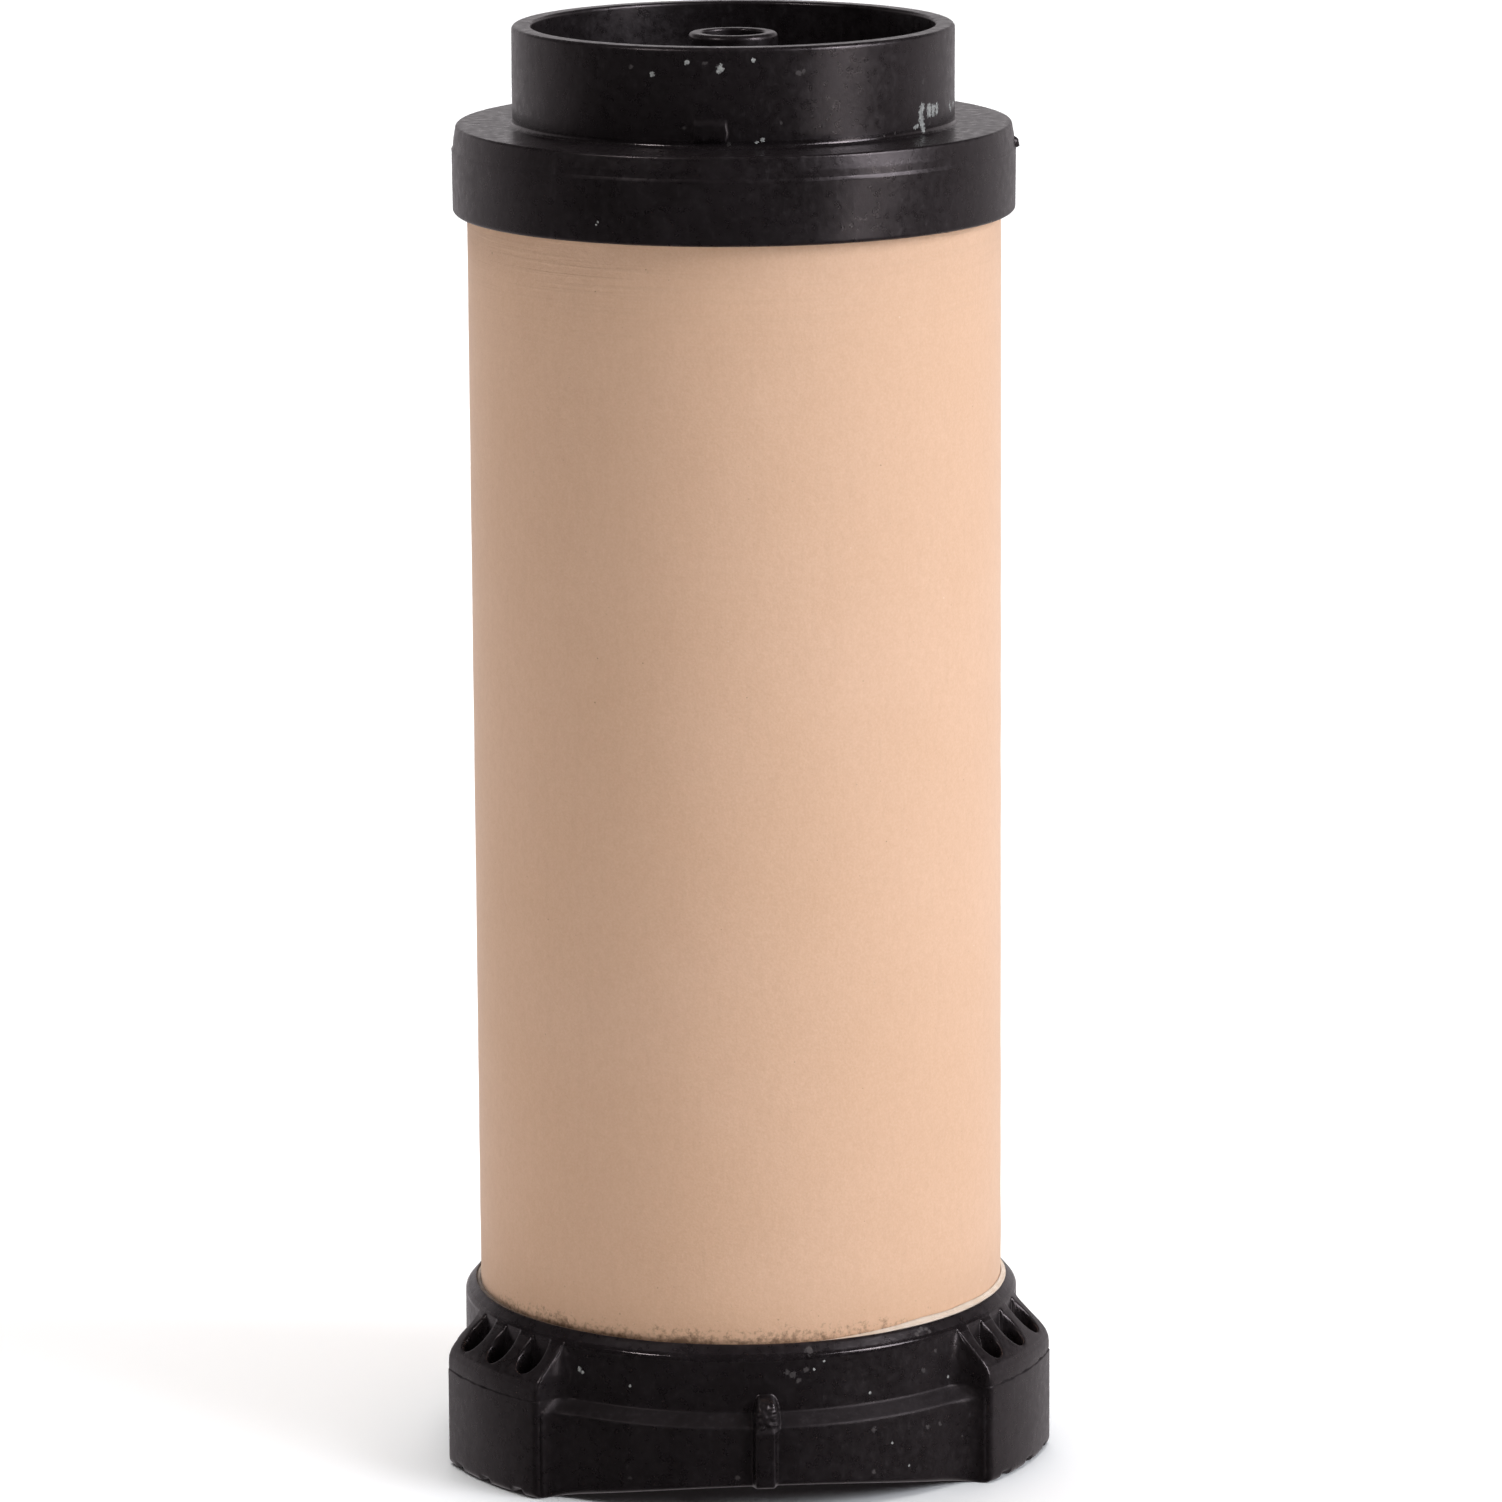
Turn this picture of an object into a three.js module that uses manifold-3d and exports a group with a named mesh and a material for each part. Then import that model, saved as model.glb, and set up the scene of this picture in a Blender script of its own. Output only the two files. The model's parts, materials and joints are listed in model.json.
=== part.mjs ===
// Ceramic filter cartridge of a hand-pumped camping water filter.
//
// The pump pushes raw water through the porous ceramic barrel from outside to inside. It goes on through the
// sleeve and the carbon core to the core's bore, and leaves by the outlet port in the top cap's collar.
// Both caps are potted onto the barrel. The bottom cap stands on the three grip lugs round its rim.
//
// Millimetres, +Z up. The origin is on the cartridge's axis, in the plane that the lugs stand on.
// Azimuths are in degrees round +Z from the front, which is -Y, towards +X.

import * as THREE from "three";
import { mergeVertices } from "three/addons/utils/BufferGeometryUtils.js";
import Module from "manifold-3d";

const wasm = await Module();
wasm.setup();

// Driving dimensions ----------------------------------------------------------------------------------------

const TOTAL_HEIGHT = 136;
const BARREL_RADIUS = 25;
const BARREL_WALL = 8;
const BARREL_BORE = BARREL_RADIUS - BARREL_WALL;
const CAP_WALL = 2.5;
const BOND_GAP = 0.15; // between two bonded pieces
const FACETS = 48; // round the cartridge
const ROUND_STEPS = 2; // straight steps in a rounded corner
const CURVE_STEPS = 8; // straight steps in an arc or curve of an extruded outline

// Bottom cap, from the feet up.
const RIM_THICKNESS = 3.2; // the rim wall under the cap's floor
const ARCH_HEIGHT = 2.5; // what each arch between two lugs leaves under the floor
const BOTTOM_FLOOR_TOP = ARCH_HEIGHT + CAP_WALL;
const SKIRT_RADIUS = 27.7; // the lower wall, between the lugs
const LEDGE_LIP = 8.2;
const LEDGE_TOP = 9.4;
const RING_RADIUS = 26.45; // the upper wall, round the barrel
const RING_TOP = 15.5;
const RING_BEVEL = 0.9; // how far down the bevel reaches round the ring's top
const SOCKET_RADIUS = 25.4; // what both caps hold the barrel in
const MOUTH_RADIUS = 25.8;
const MOUTH_DEPTH = 1.2;

// Lugs, and what is moulded into them.
const LUG_COUNT = 3;
const LUG_FIRST_AZIMUTH = 60;
const LUG_RADIUS = 30;
const LUG_HALF_ANGLE = 14.6;
const LUG_SLOPE_TOP = 14.6;
const LUG_SHOULDER = 10.9; // where the slope would meet the upright face, if the corner weren't rounded
const LUG_ROOT_HALF_ANGLE = 23.5; // to where the lower wall sweeps out into the lug's side
const POCKET_PITCH = 9;
const POCKET_WIDTH = 2.2;
const POCKET_INNER = 26.6;
const POCKET_OUTER = 29.2;
const POCKET_FLOOR = 6;
const GROOVE_WIDTH = 1.6;
const GROOVE_DEPTH = 0.45;

// What stands on the lower wall between the lugs, a little to one side of the middle.
const RIB_OFFSET = -1.2; // degrees
const RIB_WIDTH = 2;
const RIB_RADIUS = 28.65;
const GATE_WIDTH = 2.3;
const GATE_RADIUS = 28.3;
const GATE_BOTTOM = 7;
const GATE_TOP = 10;

// Top cap, from the barrel up.
const FLANGE_BOTTOM = 118.6;
const PARTING_LINE = 124.5;
const FLANGE_TOP = 126.8;
const FLANGE_RADIUS = 26.35;
const FLANGE_STEP = 0.12; // how far the upper mould half's surface is set back
const FLANGE_TOP_RADIUS = 25.95;
const WEB_UNDER = FLANGE_TOP - CAP_WALL;
const COLLAR_RADIUS = 20.72;
const CUP_RADIUS = 18.85;
const CUP_FLOOR = 127;
const PORT_RADIUS = 4.15;
const PORT_TOP = 135.2;
const PORT_BORE = 2.95;
const SPIGOT_RADIUS = 4.8; // the port's lower end, in the core's bore
const SPIGOT_BOTTOM = 117.5;
const SCREEN_SEAT_RADIUS = 3.8;
const SCREEN_SEAT_DEPTH = 1.2;
const LOCATOR_RADIUS = BARREL_BORE - 0.4; // rings inside both caps that centre the barrel by its bore
const LOCATOR_WALL = 1.4;
const LOCATOR_DEPTH = 2;
const NUB_AZIMUTH = 82;
const NUB_RADIUS = 0.5;
const NUB_PROUD = 0.3;

// What the caps hold.
const POTTING_THICKNESS = 1.1;
const BARREL_BOTTOM = BOTTOM_FLOOR_TOP + POTTING_THICKNESS + 2 * BOND_GAP;
const BARREL_TOP = WEB_UNDER - POTTING_THICKNESS - 2 * BOND_GAP;
const BARREL_EDGE = 0.4;
const SLEEVE_WALL = 0.5;
const SLEEVE_RADIUS = BARREL_BORE - 2 * BOND_GAP;
const CORE_RADIUS = SLEEVE_RADIUS - SLEEVE_WALL - BOND_GAP;
const CORE_BORE = 5.2;
const SEAL_THICKNESS = 2.4; // the rubber disc and the rubber washer at the core's ends
const SEAL_RADIUS = LOCATOR_RADIUS - LOCATOR_WALL - BOND_GAP;
const CORE_BOTTOM = BOTTOM_FLOOR_TOP + SEAL_THICKNESS + 2 * BOND_GAP;
const CORE_TOP = WEB_UNDER - SEAL_THICKNESS - 2 * BOND_GAP;
const SCREEN_RADIUS = SCREEN_SEAT_RADIUS - BOND_GAP;
const SCREEN_THICKNESS = 0.6;

const lugAzimuths = Array.from({ length: LUG_COUNT }, (_, i) => LUG_FIRST_AZIMUTH + (i * 360) / LUG_COUNT);
const panelAzimuths = lugAzimuths.map((azimuth) => azimuth - 180 / LUG_COUNT);
const pocketSteps = [-POCKET_PITCH, 0, POCKET_PITCH];
const pocketAzimuths = lugAzimuths.flatMap((azimuth) => pocketSteps.map((step) => azimuth + step));

// Materials -------------------------------------------------------------------------------------------------

function material(name, color, roughness) {
  return new THREE.MeshStandardMaterial({ name, color, roughness, metalness: 0 });
}

const blackPlastic = material("black_plastic", 0x211f21, 0.45);
const ceramic = material("ceramic", 0xdcb896, 0.92);
const adhesive = material("adhesive", 0xe6dccf, 0.5);
const carbon = material("carbon", 0x17181a, 0.95);
const nonwoven = material("nonwoven", 0xf1efe9, 0.9);
const sealRubber = material("seal_rubber", 0x8d9092, 0.8);
const filterMesh = material("filter_mesh", 0xd9dcdf, 0.6);

// Shape helpers ---------------------------------------------------------------------------------------------

// A path through corners [x, y, rounding], where rounding is how much of each side the round corner takes.
// The first corner is never rounded.
function outline(corners) {
  const at = (i) => new THREE.Vector2(...corners[i % corners.length].slice(0, 2));
  const towards = (i, j, distance) => at(j).sub(at(i)).setLength(distance).add(at(i));
  const path = new THREE.Path();
  path.moveTo(...at(0));
  for (let i = 1; i < corners.length; i += 1) {
    const rounding = corners[i][2];
    if (rounding) {
      path.lineTo(...towards(i, i - 1, rounding));
      path.quadraticCurveTo(...at(i), ...towards(i, i + 1, rounding));
    } else {
      path.lineTo(...at(i));
    }
  }
  return path;
}

// A solid of revolution about +Z from corners [radius, height, rounding], with its first facet at the front.
// The corners start and end on the axis, or else the outline closes on itself.
function turned(corners) {
  const path = outline(corners);
  if (corners[0][0] > 0) path.closePath();
  return new THREE.LatheGeometry(path.getPoints(ROUND_STEPS), FACETS).rotateX(Math.PI / 2);
}

function tube(outer, bore, height, rounding = 0) {
  return turned([[bore, 0], [outer, 0, rounding], [outer, height, rounding], [bore, height]]);
}

function disc(radius, thickness) {
  return turned([[0, 0], [radius, 0], [radius, thickness], [0, thickness]]);
}

// An outline in plan, extruded from one height up to another.
function upright(shape, bottom, top) {
  const options = { depth: top - bottom, bevelEnabled: false, curveSegments: CURVE_STEPS };
  return new THREE.ExtrudeGeometry(shape, options).translate(0, 0, bottom);
}

// A box at the front, from one radius out to another.
function frontBlock(width, inner, outer, bottom, top) {
  return new THREE.BoxGeometry(width, outer - inner, top - bottom)
    .translate(0, -(inner + outer) / 2, (bottom + top) / 2);
}

function inPlan(radius, azimuth) {
  const angle = THREE.MathUtils.degToRad(azimuth);
  return new THREE.Vector2(radius * Math.sin(angle), -radius * Math.cos(angle));
}

function solid(geometry) {
  const bare = geometry.clone();
  bare.deleteAttribute("normal");
  bare.deleteAttribute("uv");
  const merged = mergeVertices(bare);
  return new wasm.Manifold(new wasm.Mesh({
    numProp: 3,
    vertProperties: new Float32Array(merged.attributes.position.array),
    triVerts: new Uint32Array(merged.index.array),
  }));
}

// One solid made of a front geometry's copies, turned to each azimuth.
function repeated(geometry, azimuths) {
  return azimuths
    .map((azimuth) => solid(geometry.clone().rotateZ(THREE.MathUtils.degToRad(azimuth))))
    .reduce((joined, next) => joined.add(next));
}

function geometryOf(manifold) {
  const mesh = manifold.getMesh();
  const geometry = new THREE.BufferGeometry();
  geometry.setAttribute("position", new THREE.BufferAttribute(new Float32Array(mesh.vertProperties), 3));
  geometry.setIndex(new THREE.BufferAttribute(new Uint32Array(mesh.triVerts), 1));
  geometry.computeVertexNormals();
  return geometry;
}

// Top cap ---------------------------------------------------------------------------------------------------

// Flange, collar with its cup, and the outlet port, whose lower end is a spigot in the core's bore.
function topCapBody() {
  return turned([
    [SOCKET_RADIUS, FLANGE_BOTTOM],
    [FLANGE_RADIUS - 0.05, FLANGE_BOTTOM, 0.5],
    [FLANGE_RADIUS, PARTING_LINE],
    [FLANGE_RADIUS - FLANGE_STEP, PARTING_LINE + 0.1],
    [FLANGE_TOP_RADIUS, FLANGE_TOP, 0.35],
    [COLLAR_RADIUS, FLANGE_TOP, 0.6],
    [COLLAR_RADIUS, TOTAL_HEIGHT, 0.4],
    [CUP_RADIUS, TOTAL_HEIGHT, 0.3],
    [CUP_RADIUS - 0.2, CUP_FLOOR, 0.8],
    [PORT_RADIUS + 0.2, CUP_FLOOR, 0.6],
    [PORT_RADIUS, PORT_TOP, 0.4],
    [PORT_BORE, PORT_TOP, 0.25],
    [PORT_BORE, SPIGOT_BOTTOM + SCREEN_SEAT_DEPTH],
    [SCREEN_SEAT_RADIUS, SPIGOT_BOTTOM + SCREEN_SEAT_DEPTH],
    [SCREEN_SEAT_RADIUS, SPIGOT_BOTTOM],
    [SPIGOT_RADIUS, SPIGOT_BOTTOM],
    [SPIGOT_RADIUS, WEB_UNDER],
    [LOCATOR_RADIUS - LOCATOR_WALL, WEB_UNDER],
    [LOCATOR_RADIUS - LOCATOR_WALL, WEB_UNDER - LOCATOR_DEPTH],
    [LOCATOR_RADIUS, WEB_UNDER - LOCATOR_DEPTH],
    [LOCATOR_RADIUS, WEB_UNDER],
    [SOCKET_RADIUS, WEB_UNDER],
  ]);
}

// A small burr on the parting line, where the two halves of the mould met.
function partingNub() {
  const length = 2 * NUB_PROUD + FLANGE_STEP;
  return new THREE.CylinderGeometry(NUB_RADIUS, NUB_RADIUS, length, CURVE_STEPS)
    .translate(0, -FLANGE_RADIUS - NUB_PROUD + length / 2, PARTING_LINE);
}

function topCap() {
  return geometryOf(solid(topCapBody()).add(repeated(partingNub(), [NUB_AZIMUTH])));
}

// Bottom cap ------------------------------------------------------------------------------------------------

// The cup that holds the barrel, on a rim that reaches down to the feet.
function bottomCapBody() {
  return turned([
    [0, ARCH_HEIGHT],
    [SKIRT_RADIUS - RIM_THICKNESS, ARCH_HEIGHT],
    [SKIRT_RADIUS - RIM_THICKNESS, 0],
    [SKIRT_RADIUS, 0, 0.6],
    [SKIRT_RADIUS, LEDGE_LIP],
    [RING_RADIUS, LEDGE_TOP],
    [RING_RADIUS, RING_TOP - RING_BEVEL],
    [MOUTH_RADIUS + 0.1, RING_TOP],
    [MOUTH_RADIUS, RING_TOP],
    [SOCKET_RADIUS, RING_TOP - MOUTH_DEPTH],
    [SOCKET_RADIUS, BOTTOM_FLOOR_TOP],
    [LOCATOR_RADIUS, BOTTOM_FLOOR_TOP],
    [LOCATOR_RADIUS, BOTTOM_FLOOR_TOP + LOCATOR_DEPTH],
    [LOCATOR_RADIUS - LOCATOR_WALL, BOTTOM_FLOOR_TOP + LOCATOR_DEPTH],
    [LOCATOR_RADIUS - LOCATOR_WALL, BOTTOM_FLOOR_TOP],
    [0, BOTTOM_FLOOR_TOP],
  ]);
}

// The ring that the lugs are slices of: an upright face, and a slope up to the thin upper wall.
function lugRing() {
  const inner = SKIRT_RADIUS - RIM_THICKNESS;
  return turned([
    [inner, ARCH_HEIGHT + CAP_WALL / 2],
    [inner, 0],
    [LUG_RADIUS, 0, 0.7],
    [LUG_RADIUS, LUG_SHOULDER, 1.8],
    [RING_RADIUS - 0.3, LUG_SLOPE_TOP],
    [SOCKET_RADIUS + 0.4, LUG_SLOPE_TOP],
    [SOCKET_RADIUS + 0.4, ARCH_HEIGHT + CAP_WALL / 2],
  ]);
}

// One slice in plan. It is wider than the ring is, so that only its sides cut.
function lugSlice() {
  const beyond = 1.2 * LUG_RADIUS;
  return new THREE.Shape([
    inPlan(0, 0),
    inPlan(beyond, -LUG_HALF_ANGLE),
    inPlan(beyond, LUG_HALF_ANGLE),
  ]);
}

// The sweep of the lower wall out to a lug's two sides, in plan.
function lugRoot() {
  const inner = SKIRT_RADIUS - RIM_THICKNESS / 2;
  const corner = (side) => inPlan(LUG_RADIUS - 0.3, side * LUG_HALF_ANGLE);
  const bend = (side) => inPlan(SKIRT_RADIUS + 0.1, side * (LUG_HALF_ANGLE + 1.5));
  const start = (side) => inPlan(SKIRT_RADIUS - 0.1, side * LUG_ROOT_HALF_ANGLE);
  const shape = new THREE.Shape();
  shape.moveTo(...inPlan(inner, -LUG_ROOT_HALF_ANGLE));
  shape.lineTo(...start(-1));
  shape.quadraticCurveTo(...bend(-1), ...corner(-1));
  shape.lineTo(...corner(1));
  shape.quadraticCurveTo(...bend(1), ...start(1));
  shape.lineTo(...inPlan(inner, LUG_ROOT_HALF_ANGLE));
  shape.lineTo(...inPlan(SKIRT_RADIUS, 0));
  return shape;
}

// A pocket in plan, with round ends, that runs along the front radius.
function pocket() {
  const end = POCKET_WIDTH / 2;
  const shape = new THREE.Shape();
  shape.absarc(0, end - POCKET_OUTER, end, Math.PI, 2 * Math.PI);
  shape.absarc(0, -end - POCKET_INNER, end, 0, Math.PI);
  return shape;
}

// What is cut from the rim between two lugs: a low arch seen from outside, right through the rim.
function arch() {
  const half = SKIRT_RADIUS * Math.sin(THREE.MathUtils.degToRad(180 / LUG_COUNT - LUG_HALF_ANGLE));
  const shape = new THREE.Shape();
  shape.moveTo(-half, -1);
  shape.lineTo(half, -1);
  shape.lineTo(half, 0);
  shape.quadraticCurveTo(0, 2 * ARCH_HEIGHT, -half, 0);
  return upright(shape, 0, LUG_RADIUS).rotateX(Math.PI / 2);
}

function bottomCap() {
  const everyLug = (geometry) => repeated(geometry, lugAzimuths);
  const everyPanel = (geometry) => repeated(geometry, panelAzimuths);
  const besideMiddle = (geometry) => geometry.rotateZ(THREE.MathUtils.degToRad(RIB_OFFSET));
  const inRim = SKIRT_RADIUS - RIM_THICKNESS / 2;
  const lugs = solid(lugRing()).intersect(everyLug(upright(lugSlice(), -1, TOTAL_HEIGHT)));
  const pockets = upright(pocket(), POCKET_FLOOR, TOTAL_HEIGHT);
  const grooves = frontBlock(GROOVE_WIDTH, BARREL_BORE, LUG_RADIUS + 1, -1, GROOVE_DEPTH);
  const rib = besideMiddle(frontBlock(RIB_WIDTH, inRim, RIB_RADIUS, 0, LEDGE_LIP));
  const gate = besideMiddle(frontBlock(GATE_WIDTH, inRim, GATE_RADIUS, GATE_BOTTOM, GATE_TOP));
  return geometryOf(solid(bottomCapBody())
    .add(everyLug(upright(lugRoot(), 0, LEDGE_LIP)))
    .add(everyPanel(rib))
    .add(solid(gate))
    .subtract(everyPanel(arch()))
    .add(lugs)
    .subtract(repeated(pockets, pocketAzimuths))
    .subtract(repeated(grooves, pocketAzimuths)));
}

// Potting ---------------------------------------------------------------------------------------------------

// The adhesive round and under the barrel's lower end, up to the bead in the bottom cap's mouth.
function bottomPotting() {
  const inner = BARREL_RADIUS + BOND_GAP / 2;
  const outer = SOCKET_RADIUS - BOND_GAP / 2;
  const foot = BOTTOM_FLOOR_TOP + BOND_GAP;
  const seat = foot + POTTING_THICKNESS;
  return turned([
    [LOCATOR_RADIUS + BOND_GAP, foot],
    [outer, foot],
    [outer, RING_TOP - MOUTH_DEPTH],
    [MOUTH_RADIUS - BOND_GAP, RING_TOP],
    [inner, RING_TOP + BOND_GAP],
    [inner, seat],
    [LOCATOR_RADIUS + BOND_GAP, seat],
  ]);
}

function topPotting() {
  return tube(SOCKET_RADIUS - BOND_GAP, LOCATOR_RADIUS + BOND_GAP, POTTING_THICKNESS);
}

// Assembly --------------------------------------------------------------------------------------------------

const cartridge = new THREE.Group();

function place(name, geometry, look, height = 0) {
  const mesh = new THREE.Mesh(geometry, look);
  mesh.name = name;
  mesh.position.z = height;
  cartridge.add(mesh);
}

const barrelHeight = BARREL_TOP - BARREL_BOTTOM;
const coreHeight = CORE_TOP - CORE_BOTTOM;
const screenHeight = SPIGOT_BOTTOM + SCREEN_SEAT_DEPTH - SCREEN_THICKNESS - BOND_GAP;

place("top_cap", topCap(), blackPlastic);
place("bottom_cap", bottomCap(), blackPlastic);
place("ceramic_barrel", tube(BARREL_RADIUS, BARREL_BORE, barrelHeight, BARREL_EDGE), ceramic, BARREL_BOTTOM);
place("top_potting", topPotting(), adhesive, BARREL_TOP + BOND_GAP);
place("bottom_potting", bottomPotting(), adhesive);
place("carbon_core", tube(CORE_RADIUS, CORE_BORE, coreHeight), carbon, CORE_BOTTOM);
place("carbon_sleeve", tube(SLEEVE_RADIUS, SLEEVE_RADIUS - SLEEVE_WALL, coreHeight), nonwoven, CORE_BOTTOM);
place("core_top_washer", tube(SEAL_RADIUS, CORE_BORE, SEAL_THICKNESS), sealRubber, CORE_TOP + BOND_GAP);
place("core_bottom_disc", disc(SEAL_RADIUS, SEAL_THICKNESS), sealRubber, BOTTOM_FLOOR_TOP + BOND_GAP);
place("outlet_screen", disc(SCREEN_RADIUS, SCREEN_THICKNESS), filterMesh, screenHeight);

export default cartridge;
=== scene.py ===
import json
import math

import bpy
import numpy as np
from mathutils import Matrix, Vector


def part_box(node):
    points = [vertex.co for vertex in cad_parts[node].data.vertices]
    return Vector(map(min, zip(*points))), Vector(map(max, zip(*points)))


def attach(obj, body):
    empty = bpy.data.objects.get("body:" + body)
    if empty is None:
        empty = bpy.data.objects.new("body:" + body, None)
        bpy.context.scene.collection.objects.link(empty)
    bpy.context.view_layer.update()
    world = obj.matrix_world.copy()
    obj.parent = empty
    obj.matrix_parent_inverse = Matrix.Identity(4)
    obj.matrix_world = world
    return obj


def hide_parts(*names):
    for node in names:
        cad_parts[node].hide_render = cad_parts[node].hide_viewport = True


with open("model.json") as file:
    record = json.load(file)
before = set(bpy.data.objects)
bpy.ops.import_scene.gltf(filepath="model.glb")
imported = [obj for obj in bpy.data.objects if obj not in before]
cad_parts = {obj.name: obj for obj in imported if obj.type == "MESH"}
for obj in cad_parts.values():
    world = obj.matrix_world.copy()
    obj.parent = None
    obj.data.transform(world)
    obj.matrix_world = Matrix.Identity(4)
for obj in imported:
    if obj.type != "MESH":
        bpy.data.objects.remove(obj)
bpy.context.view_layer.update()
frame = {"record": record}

# A ceramic filter cartridge, standing on its three lugs.
#
# Sizes are in millimetres, and a mesh is scaled to metres when it is made. An azimuth is in degrees round
# +Z from the front, which is -Y, towards +X. Most meshes are lofts: a grid of columns, one for each azimuth,
# and rows, which follow the outside and the inside.

MM = 0.001


def node_box(node):
    """Lowest and highest corner of a CAD node in millimetres."""
    low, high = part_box(node)
    return low / MM, high / MM


# Driving dimensions --------------------

CAP_HIGH = node_box("bottom_cap")[1]
TOP_LOW, TOP_HIGH = node_box("top_cap")
BARREL_LOW, BARREL_HIGH = node_box("ceramic_barrel")
POTTING_LOW, POTTING_HIGH = node_box("bottom_potting")
SLEEVE_LOW, SLEEVE_HIGH = node_box("carbon_sleeve")
CORE_LOW, CORE_HIGH = node_box("carbon_core")
WASHER_LOW, WASHER_HIGH = node_box("core_top_washer")
DISC_LOW, DISC_HIGH = node_box("core_bottom_disc")
SCREEN_LOW, SCREEN_HIGH = node_box("outlet_screen")
TOP_POTTING_LOW, TOP_POTTING_HIGH = node_box("top_potting")
SEATS = {mount["name"]: mount["pos_m"][2] / MM for mount in frame["record"]["mounts"]}

TOTAL_HEIGHT = TOP_HIGH.z
BARREL_RADIUS = BARREL_HIGH.x
BARREL_BORE = SLEEVE_HIGH.x + 0.3
BOND_GAP = 0.15  # between CAD solids that are bonded together
SOCKET_RADIUS = BARREL_RADIUS + 0.4  # what both caps hold the barrel in
LUG_RADIUS = CAP_HIGH.y  # one lug is at the back
RING_TOP = POTTING_HIGH.z + 0.05

# Bottom cap.
FLOOR_UNDERSIDE = 2.85
RECESS_INNER = 9
RECESS_OUTER = 17
RECESS_DEPTH = 0.3
FLOOR_TOP = POTTING_LOW.z - BOND_GAP
RIM_INNER = 24.5
SKIRT_RADIUS = 27.7
LEDGE_LIP = 8.2
LEDGE_TOP = 9.4
RING_RADIUS = 26.45
BEVEL_FOOT = 14.62
BEVEL_TOP_RADIUS = SOCKET_RADIUS + 0.12
ARCH_HEIGHT = 2.5
ARCH_HALF_WIDTH = 19.45
FOOT_ROUNDING = 0.7

LUG_COUNT = 3
LUG_FIRST_AZIMUTH = 60
HALF_SECTOR = 180 / LUG_COUNT
LUG_HALF_ANGLE = 14.5  # at the lug's face
SIDE_DRAFT = 0.257  # degrees that the lug's side gains for each millimetre towards the axis
SLOPE_START = BEVEL_FOOT - LUG_RADIUS + RING_RADIUS  # the slope is at 45 degrees
SLOPE_ROUNDING = 2.6
PARTING_AT = 9.45
SLOT_PITCH = 9.3
SLOT_HALF_WIDTH = 1.3
SLOT_OUTER = 29.2
SLOT_FLOOR = 6
SLOT_LIP = 0.4
SLOT_INNER_STEEPNESS = 5.5
GROOVE_HALF_WIDTH = 0.8
GROOVE_DEPTH = 0.45
RIB_OFFSET = -1.2  # degrees beside the panel's middle
RIB_HALF_WIDTH = 1.0
RIB_PROUD = 0.93
GATE_AZIMUTH = -0.8
GATE_HALF_WIDTH = 1.35
GATE_FOOT = 7.2
GATE_WIDEST = 8.2
GATE_RISE = 2.9
GATE_PROUD = 1.95
PARTING_SET_BACK = 0.06

# Top cap.
FLANGE_BOTTOM = 118.6
PARTING_LINE = 124.5
FLANGE_TOP = SEATS["shoulder_seat"]
FLANGE_RADIUS = 26.35
FLANGE_TOP_RADIUS = 25.95
COLLAR_RADIUS = 20.65
CUP_RADIUS = 18.85
CUP_FLOOR = 127
PORT_RADIUS = 4.15
PORT_TOP = SEATS["outlet_port_face"]
PORT_BORE = 2.95
SPIGOT_RADIUS = 4.8
WEB_UNDER = TOP_POTTING_HIGH.z + BOND_GAP
SCREEN_SEAT_RADIUS = SCREEN_HIGH.x + BOND_GAP
LOCATOR_RADIUS = BARREL_BORE - 0.4
LOCATOR_WALL = 1.4
LOCATOR_RISE = 2
FLASH_PROUD = 0.04
NUB_AZIMUTH = 82
NUB_HEIGHT = PARTING_LINE + 0.35
NUB_RADIUS = 0.5
NUB_PROUD = 0.4
PAD_AZIMUTH = -11.7
PAD_HEIGHT = FLANGE_TOP + 1.6
PAD_WIDTH = 3.1
PAD_HALF_HEIGHT = 0.85
PAD_PROUD = 0.17

# The camera stands a little to the left of the front.
CAMERA_AZIMUTH = -5.7


# Profiles --------------------

EDGE_HOLD = 0.1  # a row this close to each end of a straight stretch keeps its shading flat
HIDDEN_STEP = 3  # between the rows of walls that never show


def rounded_corner(before, corner, after, radius):
    """The points of the arc that rounds a corner, or the corner alone."""
    if radius == 0:
        return [corner]
    to_before = (before - corner) / np.linalg.norm(before - corner)
    to_after = (after - corner) / np.linalg.norm(after - corner)
    half = math.acos(np.clip(to_before @ to_after, -1, 1)) / 2
    reach = radius / math.tan(half)
    middle = to_before + to_after
    centre = corner + middle / np.linalg.norm(middle) * radius / math.sin(half)
    start = corner + to_before * reach - centre
    end = corner + to_after * reach - centre
    turn = math.pi - 2 * half
    shares = np.linspace(0, 1, max(4, math.ceil(turn / 0.2)))
    return [
        centre + (math.sin((1 - t) * turn) * start + math.sin(t * turn) * end) / math.sin(turn)
        for t in shares
    ]


def straight(start, end, step):
    """Points between two ends of a straight stretch, without the ends."""
    length = np.linalg.norm(end - start)
    if length < 3 * EDGE_HOLD:
        return []
    inner = np.linspace(EDGE_HOLD, length - EDGE_HOLD, max(2, math.ceil(length / step)))
    return [start + (end - start) * distance / length for distance in inner]


def profile(corners, closed=True):
    """Points [radius, height] along corners (radius, height, rounding, step of the stretch before).

    The step may be left out, and so may the rounding before it.
    """
    points = [np.array(corner[:2], float) for corner in corners]
    count = len(corners)
    arcs = []
    for i, corner in enumerate(corners):
        free_end = not closed and i in (0, count - 1)
        rounding = 0 if free_end or len(corner) < 3 else corner[2]
        arcs.append(rounded_corner(points[i - 1], points[i], points[(i + 1) % count], rounding))
    line = []
    for i, corner in enumerate(corners):
        step = corner[3] if len(corner) > 3 else HIDDEN_STEP
        if i > 0 or closed:
            line += straight(arcs[i - 1][-1], arcs[i][0], step)
        line += arcs[i]
    return np.array(line)


# Seeded unevenness --------------------


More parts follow.
